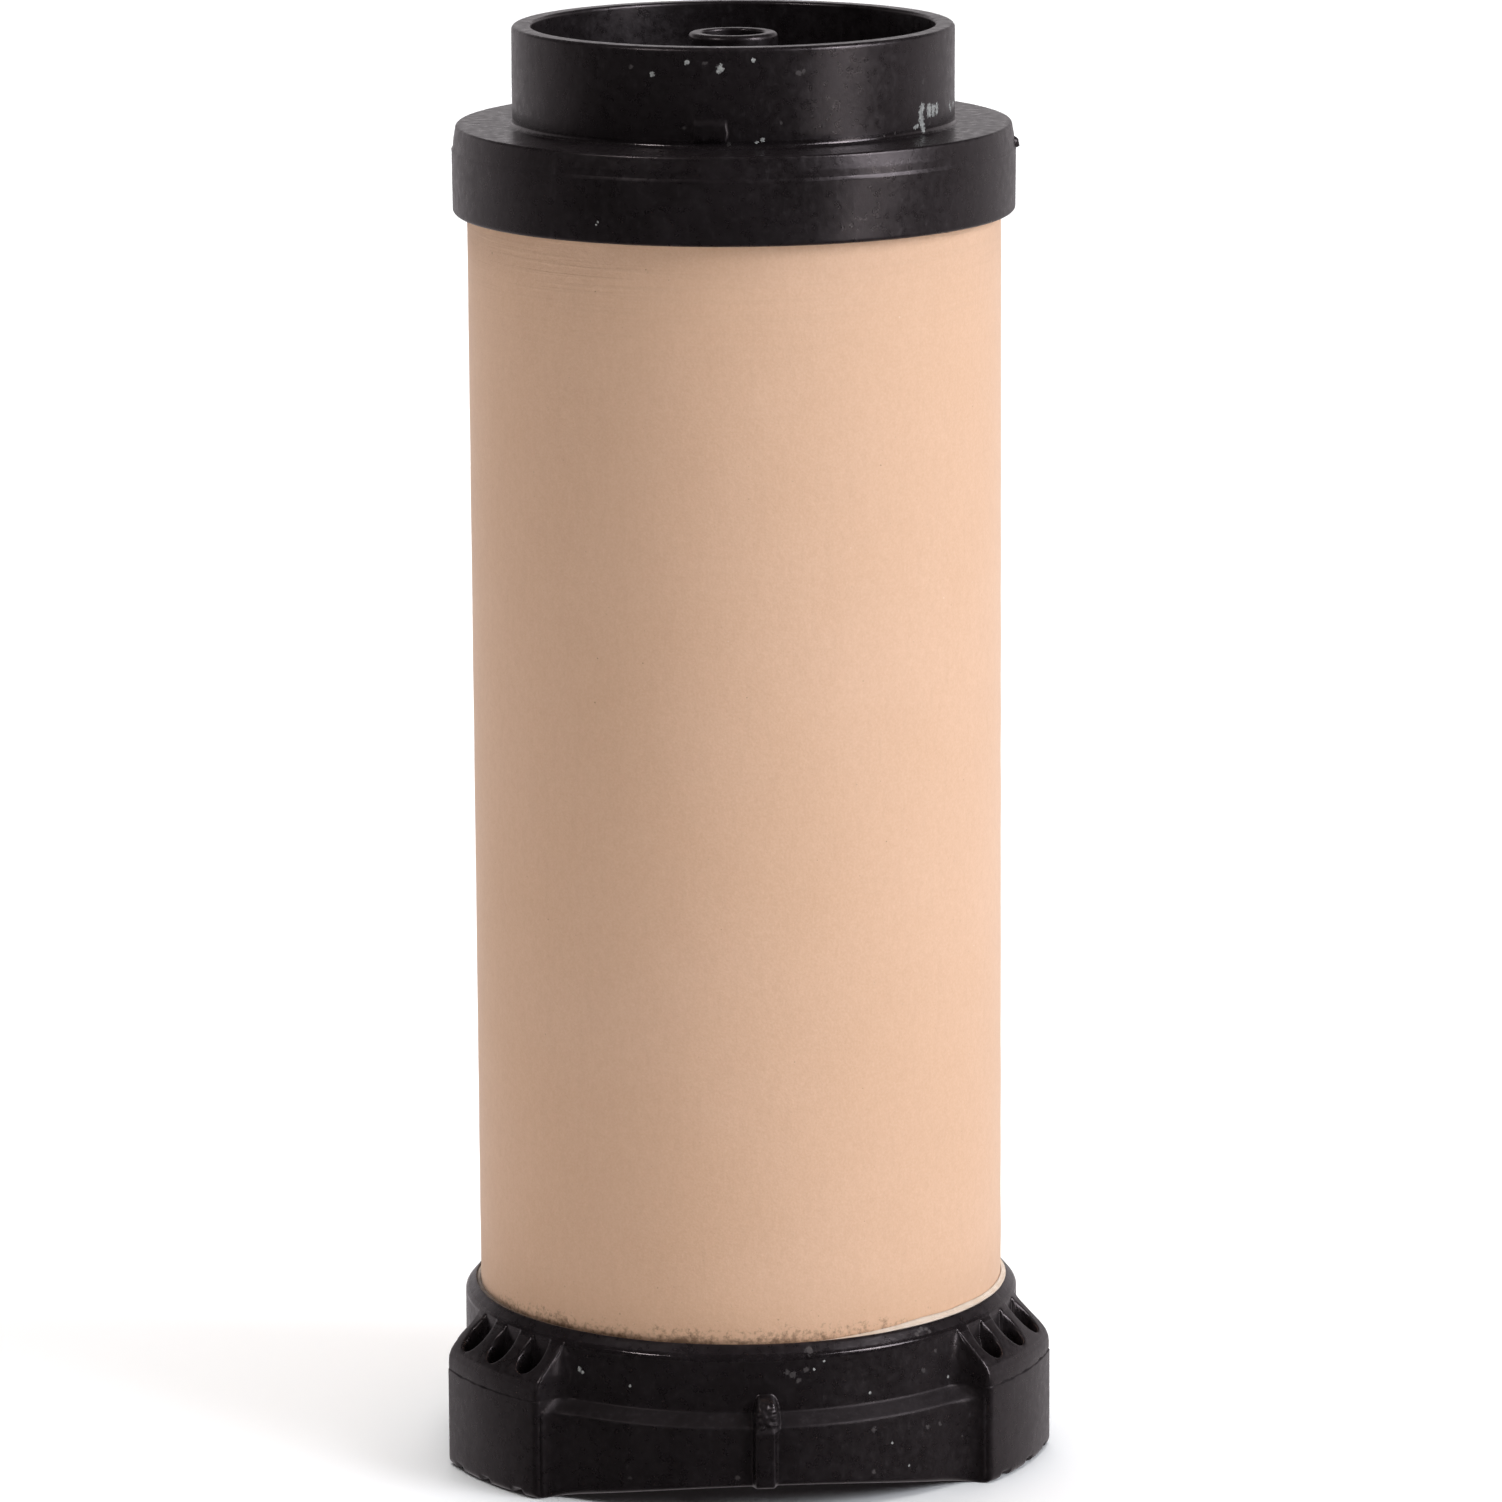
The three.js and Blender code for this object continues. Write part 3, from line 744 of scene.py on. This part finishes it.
def bottom_cap_rows():
    """Each row's lug radius, panel radius, height, and the share of the arch between lugs that lifts it."""
    rows = []

    def add(lug_radius, panel_radius, height, lift):
        rows.append((lug_radius, panel_radius, height, lift))

    # Underside: the floor with a shallow ring step, then the rim's inner wall down to its edge.
    for radius in (0, 3, 6, 8.9, 9.1, 11, 14, 16.9, 17.1, 19, 21.5, 23.6, 24.2):
        inner, outer = (float(smooth((radius - edge) * 4 + 0.5)) for edge in (RECESS_INNER, RECESS_OUTER))
        add(radius, radius, FLOOR_UNDERSIDE + RECESS_DEPTH * (inner - outer), 0)
    for height in (FLOOR_UNDERSIDE - 0.3, 2.1, 1.4, 0.8, 0.4):
        add(RIM_INNER, RIM_INNER, height, 1 - height / FLOOR_UNDERSIDE)
    add(RIM_INNER + 0.1, RIM_INNER + 0.1, 0.1, 1)
    add(RIM_INNER + 0.4, RIM_INNER + 0.4, 0, 1)
    for share in (0.35, 0.7):
        lug = RIM_INNER + (LUG_RADIUS - FOOT_ROUNDING - RIM_INNER) * share
        panel = RIM_INNER + (SKIRT_RADIUS - FOOT_ROUNDING - RIM_INNER) * share
        add(lug, panel, 0, 1)
    for turn in np.linspace(0, math.pi / 2, 7):
        inset = FOOT_ROUNDING * (1 - math.sin(turn))
        height = FOOT_ROUNDING * (1 - math.cos(turn))
        add(LUG_RADIUS - inset, SKIRT_RADIUS - inset, height, 1 - height / LEDGE_LIP)

    # Outer walls: the lug's upright face and slope, and the skirt, ledge and ring between the lugs.
    heights = np.unique(np.round(np.concatenate([
        np.arange(1.1, 7.6, 0.65),
        np.arange(7.6, 10.2, 0.12),
        PARTING_AT + np.array([-0.12, -0.06, 0, 0.06, 0.12]),
        np.arange(10.2, 12.2, 0.1),
        np.arange(12.2, BEVEL_FOOT - 0.25, 0.12),
        np.arange(BEVEL_FOOT - 0.25, BEVEL_FOOT + 0.3, 0.05),
        np.arange(BEVEL_FOOT + 0.3, RING_TOP - 0.06, 0.18),
    ]), 3))
    heights = heights[np.concatenate([[True], np.diff(heights) > 0.035])]
    lug_corners = [
        (LUG_RADIUS, 0), (LUG_RADIUS, SLOPE_START, SLOPE_ROUNDING, 1),
        (RING_RADIUS, BEVEL_FOOT, 0.3, 1), (BEVEL_TOP_RADIUS, RING_TOP, 0, 1),
    ]
    panel_corners = [
        (SKIRT_RADIUS, 0), (SKIRT_RADIUS, LEDGE_LIP, 0.2, 1),
        (RING_RADIUS, LEDGE_TOP, 0.3, 1), (RING_RADIUS, BEVEL_FOOT, 0.28, 1),
        (BEVEL_TOP_RADIUS, RING_TOP, 0, 1),
    ]
    lugs, panels = (radius_at(heights, corners) for corners in (lug_corners, panel_corners))
    for height, lug, panel in zip(heights, lugs, panels):
        add(lug, panel, height, max(0.0, 1 - height / (LEDGE_LIP - 0.3)))

    # Over the ring's top, down inside it to the floor, and over the low wall that locates the barrel.
    locator_top = FLOOR_TOP + LOCATOR_RISE
    locator_inner = LOCATOR_RADIUS - LOCATOR_WALL
    for radius, height in (
        (SOCKET_RADIUS + 0.13, RING_TOP - 0.02), (SOCKET_RADIUS + 0.07, RING_TOP),
        (SOCKET_RADIUS + 0.02, RING_TOP - 0.03), (SOCKET_RADIUS, RING_TOP - 0.1),
        (SOCKET_RADIUS, RING_TOP - 1.5), (SOCKET_RADIUS, FLOOR_TOP + 2),
        (SOCKET_RADIUS, FLOOR_TOP + 0.1), (SOCKET_RADIUS - 0.1, FLOOR_TOP),
        (LOCATOR_RADIUS + 0.1, FLOOR_TOP), (LOCATOR_RADIUS, FLOOR_TOP + 0.1),
        (LOCATOR_RADIUS, locator_top - 0.15), (LOCATOR_RADIUS - 0.15, locator_top),
        (locator_inner + 0.15, locator_top), (locator_inner, locator_top - 0.15),
        (locator_inner, FLOOR_TOP + 0.1), (locator_inner - 0.1, FLOOR_TOP), (7, FLOOR_TOP), (0, FLOOR_TOP),
    ):
        add(radius, radius, height, 0)
    return rows


def slot_depth(azimuth_in_lug, radius, height):
    """How deep the slots in a lug's slope are. Their lips are round, and their inner wall slopes."""
    half_width = SLOT_HALF_WIDTH * (0.8 + 0.2 * smooth((radius - RING_RADIUS) / 1.2))
    outside = np.inf
    for centre in (-SLOT_PITCH, 0, SLOT_PITCH):
        across = radius * np.sin(np.radians(azimuth_in_lug - centre))
        past_end = np.maximum(0, radius - (SLOT_OUTER - SLOT_HALF_WIDTH))
        outside = np.minimum(outside, np.hypot(across, past_end) - half_width)
    inside_lip = SLOT_LIP - np.clip(outside, 0, SLOT_LIP)
    lip = SLOT_LIP - np.sqrt(SLOT_LIP**2 - inside_lip**2)
    wall = smooth(-outside / 0.22) * np.maximum(0, height - SLOT_FLOOR - SLOT_LIP)
    inner_wall = SLOT_INNER_STEEPNESS * np.maximum(0, radius - RING_RADIUS + 0.25)
    return np.minimum(lip + wall, inner_wall)


def bottom_cap(material):
    """Floor and ring on a skirt with three slotted lugs, ribs and the torn-off mould gate."""
    rows = bottom_cap_rows()
    half = np.stack([half_plan(lug, panel, height) for lug, panel, height, _ in rows])
    mirrored = half[:, -2:0:-1] * np.array([1, -1])
    sector = np.concatenate([mirrored, half], axis=1)
    in_lug = sector[:, :, 1].T
    plain_radius = sector[:, :, 0].T
    lug_radius, panel_radius, level, lift = (np.array(column)[None, :] for column in zip(*rows))

    # Whole turn: columns first, then rows.
    middles = LUG_FIRST_AZIMUTH + 360 / LUG_COUNT * np.arange(LUG_COUNT)
    azimuth = np.concatenate([in_lug + middle for middle in middles])
    in_lug = np.tile(in_lug, (LUG_COUNT, 1))
    radius = np.tile(plain_radius, (LUG_COUNT, 1))
    in_panel = HALF_SECTOR - np.abs(in_lug)
    outer = (radius > RING_RADIUS - 0.02) & (level < RING_TOP - 1) & (level > 0.02)
    step = np.maximum(lug_radius - panel_radius, 1e-6)
    lug_share = clamp((radius - panel_radius) / step) * (step > 0.3)

    # The arch and the small grooves at the feet.
    chord = SKIRT_RADIUS * np.sin(np.radians(in_panel))
    arch = ARCH_HEIGHT * clamp(1 - (chord / ARCH_HALF_WIDTH) ** 2)
    groove = sum(
        window(LUG_RADIUS * np.radians(in_lug - centre), GROOVE_HALF_WIDTH, 0.3)
        for centre in (-SLOT_PITCH, 0, SLOT_PITCH)
    )
    height = level + lift * arch + GROOVE_DEPTH * groove * clamp((1.0 - level) / 0.9) * (lift > 0.3)

    # Slots, the parting line round the lugs, ribs, and the gate at the front.
    height = height - slot_depth(in_lug, radius, level) * outer * (level > SLOT_FLOOR + 2)
    ragged = unevenness(azimuth, 0, 21, 1.6)
    line_at = PARTING_AT + 0.03 * ragged
    notch = np.exp(-(((level - line_at) / 0.06) ** 2)) * clamp(0.06 + 0.06 * unevenness(azimuth, 0, 22, 1.1))
    set_back = PARTING_SET_BACK * smooth((level - line_at) / 0.2 + 0.5)
    radius = radius - (notch + set_back) * lug_share * outer
    sector = 360 / LUG_COUNT
    from_rib = (azimuth - RIB_OFFSET + sector / 2) % sector - sector / 2
    rib = window(SKIRT_RADIUS * np.radians(from_rib), RIB_HALF_WIDTH, 0.5)
    rib = rib * smooth((LEDGE_LIP + 0.45 - level) / 0.75)
    radius = radius + RIB_PROUD * rib * (outer | (lift > 0.85) & (radius > RING_RADIUS))
    gate_across = SKIRT_RADIUS * np.radians(signed(azimuth - GATE_AZIMUTH)) / GATE_HALF_WIDTH
    torn = unevenness(azimuth, level, 23, 0.6, 40)
    gate_above = clamp((level - GATE_WIDEST) / GATE_RISE)
    gate_proud = (GATE_PROUD + 0.1 * torn) * np.sqrt(clamp(1 - gate_above**2 - gate_across**4))
    gate_share = smooth((level - GATE_FOOT) / 0.6) * outer
    gate = np.maximum(0, RING_RADIUS + gate_proud - radius) * gate_share * (np.abs(gate_across) < 1)
    radius = radius + gate
    radius = radius + 0.014 * unevenness(azimuth, level, 24, 8) * outer
    points = around(azimuth, radius, height)
    return loft("bottom_cap_shell", points, material, closed_rows=False, poles=True)


# Barrel, potting and what they hold --------------------


def turned_piece(name, corners, material, spacing, roughen=0.0, grain=3.0, seed=1):
    """A closed ring turned from corners, with its surface roughened."""
    azimuth = columns_round(spacing)[:, None]
    radius, height = as_rows(profile(corners))
    lumps = unevenness(azimuth, height + radius, seed, grain)
    return loft(name, around(azimuth, radius + roughen * lumps, height), material)


def ceramic_barrel(material):
    """The barrel's wall is a little uneven, as fired ceramic is, and its outer edges are broken."""
    wall = BARREL_RADIUS - 0.03  # leaves room for the unevenness
    radius, height = as_rows(profile([
        (BARREL_BORE, BARREL_LOW.z, 0.3, 2),
        (wall, BARREL_LOW.z, 0.4, 2),
        (wall, RING_TOP - 0.5, 0, 2),
        (wall, RING_TOP + 6, 0, 0.35),
        (wall, FLANGE_BOTTOM + 0.5, 0, 0.8),
        (wall, BARREL_HIGH.z, 0.4, 2),
        (BARREL_BORE, BARREL_HIGH.z, 0.3, 2),
    ]))
    azimuth = columns_round(1.0)[:, None]
    near_ring = np.abs(height - RING_TOP - 1.2) < 1.4
    nibbled = 0.02 * clamp(unevenness(azimuth, height, 32, 1.1)) * near_ring
    uneven = (0.016 * unevenness(azimuth, height, 31, 7) - nibbled) * (radius > BARREL_RADIUS - 0.2)
    return loft("ceramic_wall", around(azimuth, radius + uneven, height), material)


def bead_share(azimuth):
    """How much of the bottom bead shows at an azimuth: all on the right, less at the back and far left."""
    right = smooth((azimuth - 9) / 24) * smooth((104 - azimuth) / 16)
    far_left = 0.1 * smooth((-66 - azimuth) / 12) * smooth((azimuth + 112) / 12)
    back = 0.6 * smooth((np.abs(azimuth) - 118) / 14)
    patchy = 0.85 + 0.15 * unevenness(azimuth, 0, 41, 9)
    return clamp((right + far_left + back) * patchy)


def bottom_potting(material):
    """Adhesive under and round the barrel's end. Its bead creeps up the ceramic in places."""
    azimuth = columns_round(0.8)[:, None]
    share = bead_share(signed(azimuth))
    uneven = unevenness(azimuth, 0, 42, 5)
    inner = BARREL_RADIUS + 0.01
    outer = SOCKET_RADIUS - 0.06
    foot, seat = POTTING_LOW.z, BARREL_LOW.z - 0.1
    mouth = RING_TOP - 0.25
    creep = share * (0.3 + 0.05 * uneven)
    spill = share * (0.14 + 0.03 * uneven)
    rows = [
        (LOCATOR_RADIUS + 0.2, foot), (outer - 0.1, foot), (outer, foot + 0.1), (outer, mouth - 2),
        (outer, mouth),
        (outer + spill * 0.7, mouth + 0.02 + 0.26 * share),
        (outer + spill, mouth + 0.06 + 0.3 * share),
        (outer + spill * 0.75, mouth + 0.1 + 0.33 * share),
        (inner + 0.2 + spill * 0.35, mouth + 0.1 + 0.36 * share),
        (inner + 0.1 + spill * 0.08, mouth + 0.11 + 0.36 * share + creep * 0.35),
        (inner + 0.03, mouth + 0.12 + 0.34 * share + creep),
        (inner, mouth + 0.08 + 0.34 * share + creep),
        (inner, mouth - 1), (inner, seat + 0.1), (inner - 0.1, seat), (LOCATOR_RADIUS + 0.2, seat),
    ]
    radius, height = (
        np.concatenate([np.broadcast_to(row[i], azimuth.shape) for row in rows], axis=1) for i in (0, 1)
    )
    return loft("bottom_bead", around(azimuth, radius, height), material)


def top_potting(material):
    low, high = TOP_POTTING_LOW, TOP_POTTING_HIGH
    return turned_piece("top_bead", [
        (LOCATOR_RADIUS + 0.2, low.z, 0.2, 1), (high.x - 0.05, low.z, 0.3, 1),
        (high.x - 0.05, high.z, 0.2, 0.5), (LOCATOR_RADIUS + 0.2, high.z, 0.2, 1),
    ], material, 2, 0.03, 2.5, 51)


CORE_BORE = 5.25


def carbon_core(material):
    """Pressed granules leave the block's wall pitted."""
    wall = CORE_HIGH.x - 0.1
    radius, height = as_rows(profile([
        (CORE_BORE, CORE_LOW.z, 0.3, 1), (wall, CORE_LOW.z, 0.4, 1),
        (wall, CORE_HIGH.z, 0.4, 1.1), (CORE_BORE, CORE_HIGH.z, 0.3, 1),
    ]))
    azimuth = columns_round(2.4)[:, None]
    pits = 0.09 * clamp(unevenness(azimuth, height, 61, 3) + unevenness(azimuth, height, 62, 5))
    pitted = radius - pits * (radius > CORE_BORE + 2.75)
    return loft("carbon_block", around(azimuth, pitted, height), material)


SLEEVE_OVERLAP = 22  # degrees
SLEEVE_THICKNESS = 0.24
SLEEVE_START = 150


def carbon_sleeve(material):
    """A strip of felt wrapped once round the core, with its end lapped over its start."""
    inner = CORE_HIGH.x + 0.05
    turn = np.linspace(0, 360 + SLEEVE_OVERLAP, 192)
    wound = inner + (SLEEVE_THICKNESS + 0.04) * smooth((turn - 352) / 14)
    wound = wound + 0.02 * unevenness(turn, 0, 71, 14) ** 2
    heights = np.linspace(SLEEVE_LOW.z, SLEEVE_HIGH.z, 60)
    azimuth = turn[:, None] + SLEEVE_START
    inside = around(azimuth, wound[:, None], heights[None, :])
    outside = around(azimuth, wound[:, None] + SLEEVE_THICKNESS, heights[None, :])
    loop = np.concatenate([outside, inside[:, ::-1]], axis=1)
    columns, rows = loop.shape[:2]
    index = np.arange(columns * rows).reshape(columns, rows)
    faces = tube_faces(index).tolist()
    for end, order in ((index[0].tolist(), 1), (index[-1].tolist(), -1)):
        back = end[::-1]
        faces += [[end[k], end[k + 1], back[k + 1], back[k]][::order] for k in range(rows // 2 - 1)]
    return mesh_object("carbon_felt", loop.reshape(-1, 3), faces, material)


def core_washer(material):
    """Flat rubber ring with a shallow groove underneath, round the spigot."""
    low, high = WASHER_LOW.z, WASHER_HIGH.z
    bore, rim, groove = CORE_BORE + 0.05, WASHER_HIGH.x, low + 0.35
    return turned_piece("core_top_seal", [
        (bore, low, 0.25, 1), (8.2, low, 0.2, 1), (8.6, groove, 0.2, 1), (12.2, groove, 0.2, 1),
        (12.6, low, 0.2, 1), (rim, low, 0.35, 1), (rim, high, 0.35, 0.5), (bore, high, 0.25, 1),
    ], material, 2, 0.01, 4, 81)


def core_disc(material):
    """Rubber disc with a raised ring on top that bites into the core's end."""
    low, high = DISC_LOW.z, DISC_HIGH.z
    face, rim = high - 0.25, DISC_HIGH.x
    radius, height = as_rows(profile([
        (0, low), (rim, low, 0.35, 1), (rim, face, 0.35, 0.5), (12.4, face, 0.1, 1),
        (12, high, 0.2, 1), (9, high, 0.2, 1), (8.6, face, 0.1, 1), (0, face, 0, 1),
    ], closed=False))
    points = around(columns_round(2)[:, None], radius, height)
    return loft("core_bottom_seal", points, material, closed_rows=False, poles=True)


WIRE_PITCH = 0.62
WIRE_RADIUS = 0.12


def outlet_screen(material):
    """Wires woven over and under each other, with a moulded rim round them."""
    middle = (SCREEN_LOW.z + SCREEN_HIGH.z) / 2
    reach = SCREEN_HIGH.x - 0.3
    count = int(reach / WIRE_PITCH)
    ring = np.linspace(0, 2 * math.pi, 9)[:-1]
    vertices, faces = [], []

    def add_wire(offset, crosswise, phase):
        half = math.sqrt(reach**2 - offset**2)
        along = np.linspace(-half, half, 36)
        weave = WIRE_RADIUS * 0.95 * np.cos(math.pi * along / WIRE_PITCH + phase)
        start = sum(len(block) for block in vertices)
        across = offset + WIRE_RADIUS * np.cos(ring)[None, :] + 0 * along[:, None]
        level = middle + weave[:, None] + WIRE_RADIUS * np.sin(ring)[None, :]
        run = along[:, None] + 0 * across
        x, y = (run, across) if crosswise else (across, run)
        vertices.append(np.stack([x, y, level], axis=-1).reshape(-1, 3))
        index = start + np.arange(len(along) * len(ring)).reshape(len(along), len(ring))
        order = 1 if crosswise else -1
        faces.extend(tube_faces(index)[:, ::-order].tolist())
        faces.append(index[0, ::-order].tolist())
        faces.append(index[-1, ::order].tolist())

    for k in range(-count, count + 1):
        add_wire(k * WIRE_PITCH, True, k * math.pi)
        add_wire(k * WIRE_PITCH, False, (k + 1) * math.pi)

    rim_inner, rim_outer = reach - 0.15, SCREEN_HIGH.x
    under, over = middle - 0.28, middle + 0.28
    radius, height = as_rows(profile([
        (rim_inner, under, 0.1, 1), (rim_outer, under, 0.1, 1),
        (rim_outer, over, 0.1, 1), (rim_inner, over, 0.1, 1),
    ]))
    rim_points = around(columns_round(5)[:, None], radius, height)
    start = sum(len(block) for block in vertices)
    vertices.append(rim_points.reshape(-1, 3))
    faces += [[start + i for i in face] for face in grid_faces(*rim_points.shape[:2], True, False)]
    return mesh_object("outlet_mesh", np.concatenate(vertices), faces, material)


# Marks on the caps --------------------


def on_wall(radius, *marks):
    """Marks (azimuth, height, size) on an upright wall, as (azimuth, radius, height, size)."""
    return [(azimuth, radius, height, size) for azimuth, height, size in marks]


TOP_DRIED = on_wall(
    COLLAR_RADIUS,
    # A streak down the right of the collar.
    (51.6, 129.3, 0.42), (51.0, 128.9, 0.42), (51.0, 128.5, 0.4), (51.3, 128.1, 0.4), (51.6, 127.7, 0.38),
    (52.0, 127.3, 0.3), (48.2, 127.65, 0.2), (49.4, 127.75, 0.22),
    # Patches beside it.
    (55.0, 129.2, 0.42), (57.3, 129.1, 0.4), (59.6, 129.1, 0.34), (55.0, 128.7, 0.4), (57.3, 128.6, 0.34),
    (59.4, 128.7, 0.3), (70.4, 128.8, 0.34), (75.4, 128.7, 0.3), (71.5, 128.4, 0.26),
    # Specks along the rim and at the collar's foot.
    (-26.6, 133.5, 0.26), (-17.3, 134.7, 0.24), (-8.9, 134.2, 0.34), (-9.4, 133.9, 0.22), (-0.5, 134.9, 0.2),
    (1.7, 127.6, 0.2), (0.2, 127.4, 0.15),
) + on_wall(FLANGE_RADIUS, (-33.6, 120.6, 0.11), (-34.0, 120.3, 0.11))
TOP_FAINT = on_wall(
    COLLAR_RADIUS,
    (-32.2, 134.1, 0.24), (-12.8, 134.6, 0.22), (6.5, 129.1, 0.15), (40.1, 127.4, 0.15), (36.2, 127.3, 0.13),
    (-6.7, 127.3, 0.2), (55.4, 127.7, 0.2), (11.2, 133.6, 0.26), (12.4, 133.7, 0.2), (52, 131.8, 0.22),
    (-18, 128.7, 0.18), (62, 131.4, 0.2),
)
BOTTOM_DRIED = on_wall(
    RING_RADIUS,
    (-40.5, 12.3, 0.22), (-39.8, 12.1, 0.16), (-28.8, 11.4, 0.14), (9.2, 13.3, 0.14), (11.3, 14.0, 0.12),
    (21.3, 10.4, 0.15), (41.5, 10.3, 0.12),
) + on_wall(SKIRT_RADIUS, (28.8, 3.1, 0.12), (24.9, 5.6, 0.12))
BOTTOM_FAINT = on_wall(
    RING_RADIUS,
    (4.9, 12.9, 0.32), (6.0, 12.3, 0.26), (3.6, 13.2, 0.26), (7.4, 13.3, 0.24), (34.5, 11.6, 0.22),
    (38, 13.2, 0.2),
) + on_wall(
    SKIRT_RADIUS,
    (20.8, 7.2, 0.24), (33.3, 6.5, 0.24), (36.6, 6.4, 0.2), (42.4, 4.8, 0.24), (44.3, 3.2, 0.22),
    (20.8, 3.1, 0.2), (-27.8, 2.9, 0.2), (-6.5, 3.5, 0.2),
) + [
    # A smear on the bevel, whose radius changes.
    (33.6, 26.1, 15.1, 0.22), (34.4, 25.9, 15.3, 0.22), (35.4, 25.8, 15.4, 0.22), (36.4, 25.9, 15.3, 0.22),
    (36.9, 26.1, 15.1, 0.2), (8.3, 26.1, 15.1, 0.4),
]


# The cartridge --------------------

top_plastic = black_plastic("black_plastic_top", TOP_DRIED, TOP_FAINT, polished_at=FLANGE_TOP + 0.4)
bottom_plastic = black_plastic(
    "black_plastic_bottom", BOTTOM_DRIED, BOTTOM_FAINT,
    polished_at=BEVEL_FOOT, dull_between=(LEDGE_LIP - 0.3, LEDGE_TOP + 0.4),
)
adhesive = cured_adhesive()
rubber = moulded_rubber()

place(top_cap(top_plastic), "top_cap", "black_plastic")
place(bottom_cap(bottom_plastic), "bottom_cap", "black_plastic")
place(ceramic_barrel(fired_ceramic()), "ceramic_barrel", "ceramic")
place(top_potting(adhesive), "top_potting", "adhesive")
place(bottom_potting(adhesive), "bottom_potting", "adhesive")
place(carbon_core(pressed_carbon()), "carbon_core", "carbon")
place(core_washer(rubber), "core_top_washer", "seal_rubber")
place(core_disc(rubber), "core_bottom_disc", "seal_rubber")
place(outlet_screen(screen_wire()), "outlet_screen", "filter_mesh")

sleeve = place(carbon_sleeve(nonwoven_fabric()), "carbon_sleeve", "nonwoven")


# Floor, light and camera --------------------

FLOOR_REACH = 3000


def pale_floor():
    """The floor is left out of reflections, so that the plastic stays dark."""
    look = Look("pale_floor", 0.8, Specular_IOR_Level=0.1)
    look.feed(look.shader["Base Color"], (0.95, 0.95, 0.95, 1))
    corners = [(x * FLOOR_REACH, y * FLOOR_REACH, 0) for x, y in ((-1, -1), (1, -1), (1, 1), (-1, 1))]
    floor = mesh_object("floor", corners, [[0, 1, 2, 3]], look.material)
    floor.visible_glossy = False


def way_to(azimuth, elevation):
    """The unit vector towards an azimuth and an elevation, both in degrees."""
    rise = math.radians(elevation)
    return Vector(around(azimuth, math.cos(rise), math.sin(rise)))


MID_HEIGHT = (0, 0, TOTAL_HEIGHT / 2)


def soft_light(name, azimuth, elevation, distance, size, brightness, colour=(1, 1, 1), aim=MID_HEIGHT):
    """A softbox that faces aim, with its distance and size in metres.

    Its brightness is what a pale sheet of that radiance would have.
    """
    width, height = size
    light = bpy.data.lights.new(name, "AREA")
    light.shape = "RECTANGLE"
    light.size = width
    light.size_y = height
    light.energy = brightness * math.pi * width * height
    light.color = colour
    lamp = add_object(name, light)
    away = way_to(azimuth, elevation)
    lamp.location = Vector(aim) * MM + away * distance
    lamp.rotation_mode = "QUATERNION"
    lamp.rotation_quaternion = away.to_track_quat("Z", "Y")
    return lamp


def studio_lights():
    """A large key light on the right, weak fills, and small lights that show only in reflections."""
    soft_light("key", 58, 28, 1.3, (0.67, 0.72), 7.7, (0.985, 1.02, 1.09))
    fills = (
        soft_light("back_left", -134, 25, 1.2, (0.6, 0.6), 1.4),
        soft_light("overhead", 0, 88, 1.4, (1.2, 1.2), 3.1),
        soft_light("far_floor", 0, 90, 1.2, (1.6, 1.2), 3.0, aim=(0, 1100, 0)),
    )
    for fill in fills:
        fill.visible_glossy = False
    reflected_only = (
        soft_light("collar_shine", 45, -4.5, 0.5, (0.07, 0.04), 11),
        soft_light("flange_shine", 56.5, 8, 0.5, (0.09, 0.07), 7.5),
        soft_light("left_edges", -53, 38, 1.2, (0.16, 0.12), 40),
        soft_light("right_edges", 56, 36, 1.2, (0.16, 0.12), 34),
        soft_light("flange_back", 176, 14, 0.9, (0.36, 0.2), 0.24),
    )
    for accent in reflected_only:
        accent.visible_diffuse = False


PALE_SIDE = 172  # the azimuth that the surroundings are palest at
PALE_BAND = 0.25  # the sine of the elevation that they start to darken above
DIMMEST, PALEST = 0.05, 0.54


def studio_world():
    """Soft surroundings, dark overhead and behind the camera, and pale behind the cartridge."""
    world = bpy.data.worlds.new("studio")
    world.use_nodes = True
    nodes = NodeTree(world.node_tree)
    direction = nodes.node("ShaderNodeTexCoord", {})["Generated"]
    towards_pale = nodes.vector("DOT_PRODUCT", direction, around(PALE_SIDE, 1.0, 0.0))["Value"]
    above_band = nodes.between(nodes.coordinate(direction, "Z"), PALE_BAND, 1, 0, 4)
    paleness = nodes.calc("SUBTRACT", towards_pale, above_band)
    background = world.node_tree.nodes["Background"].inputs
    nodes.feed(background["Strength"], nodes.between(paleness, -0.5, 0.8, DIMMEST, PALEST, "SMOOTHSTEP"))
    nodes.feed(background["Color"], (1.0, 0.935, 0.965, 1))
    bpy.context.scene.world = world


CAMERA_ELEVATION = 11.65
CAMERA_DISTANCE = 740
CAMERA_AIM = Vector((0, 0, 66.8))
CAMERA_TO_RIGHT = 1.27
CAMERA_LEAN = 0.35  # degrees
SENSOR_WIDTH = 36
FOCAL_LENGTH = 186.95


def make_camera():
    """A long lens, a little above the cartridge and a little to its left."""
    camera = add_object("camera", bpy.data.cameras.new("camera"))
    camera.data.sensor_width = SENSOR_WIDTH
    camera.data.lens = FOCAL_LENGTH
    camera.data.clip_start = 0.05
    camera.data.clip_end = 10
    away = way_to(CAMERA_AZIMUTH, CAMERA_ELEVATION)
    camera.matrix_world = (
        Matrix.Translation((CAMERA_AIM + away * CAMERA_DISTANCE) * MM)
        @ away.to_track_quat("Z", "Y").to_matrix().to_4x4()
        @ Matrix.Translation((CAMERA_TO_RIGHT * MM, 0, 0))
        @ Matrix.Rotation(-math.radians(CAMERA_LEAN), 4, "Z")
    )
    bpy.context.scene.camera = camera


pale_floor()
studio_world()
studio_lights()
make_camera()
bpy.context.scene.view_settings.view_transform = "Standard"
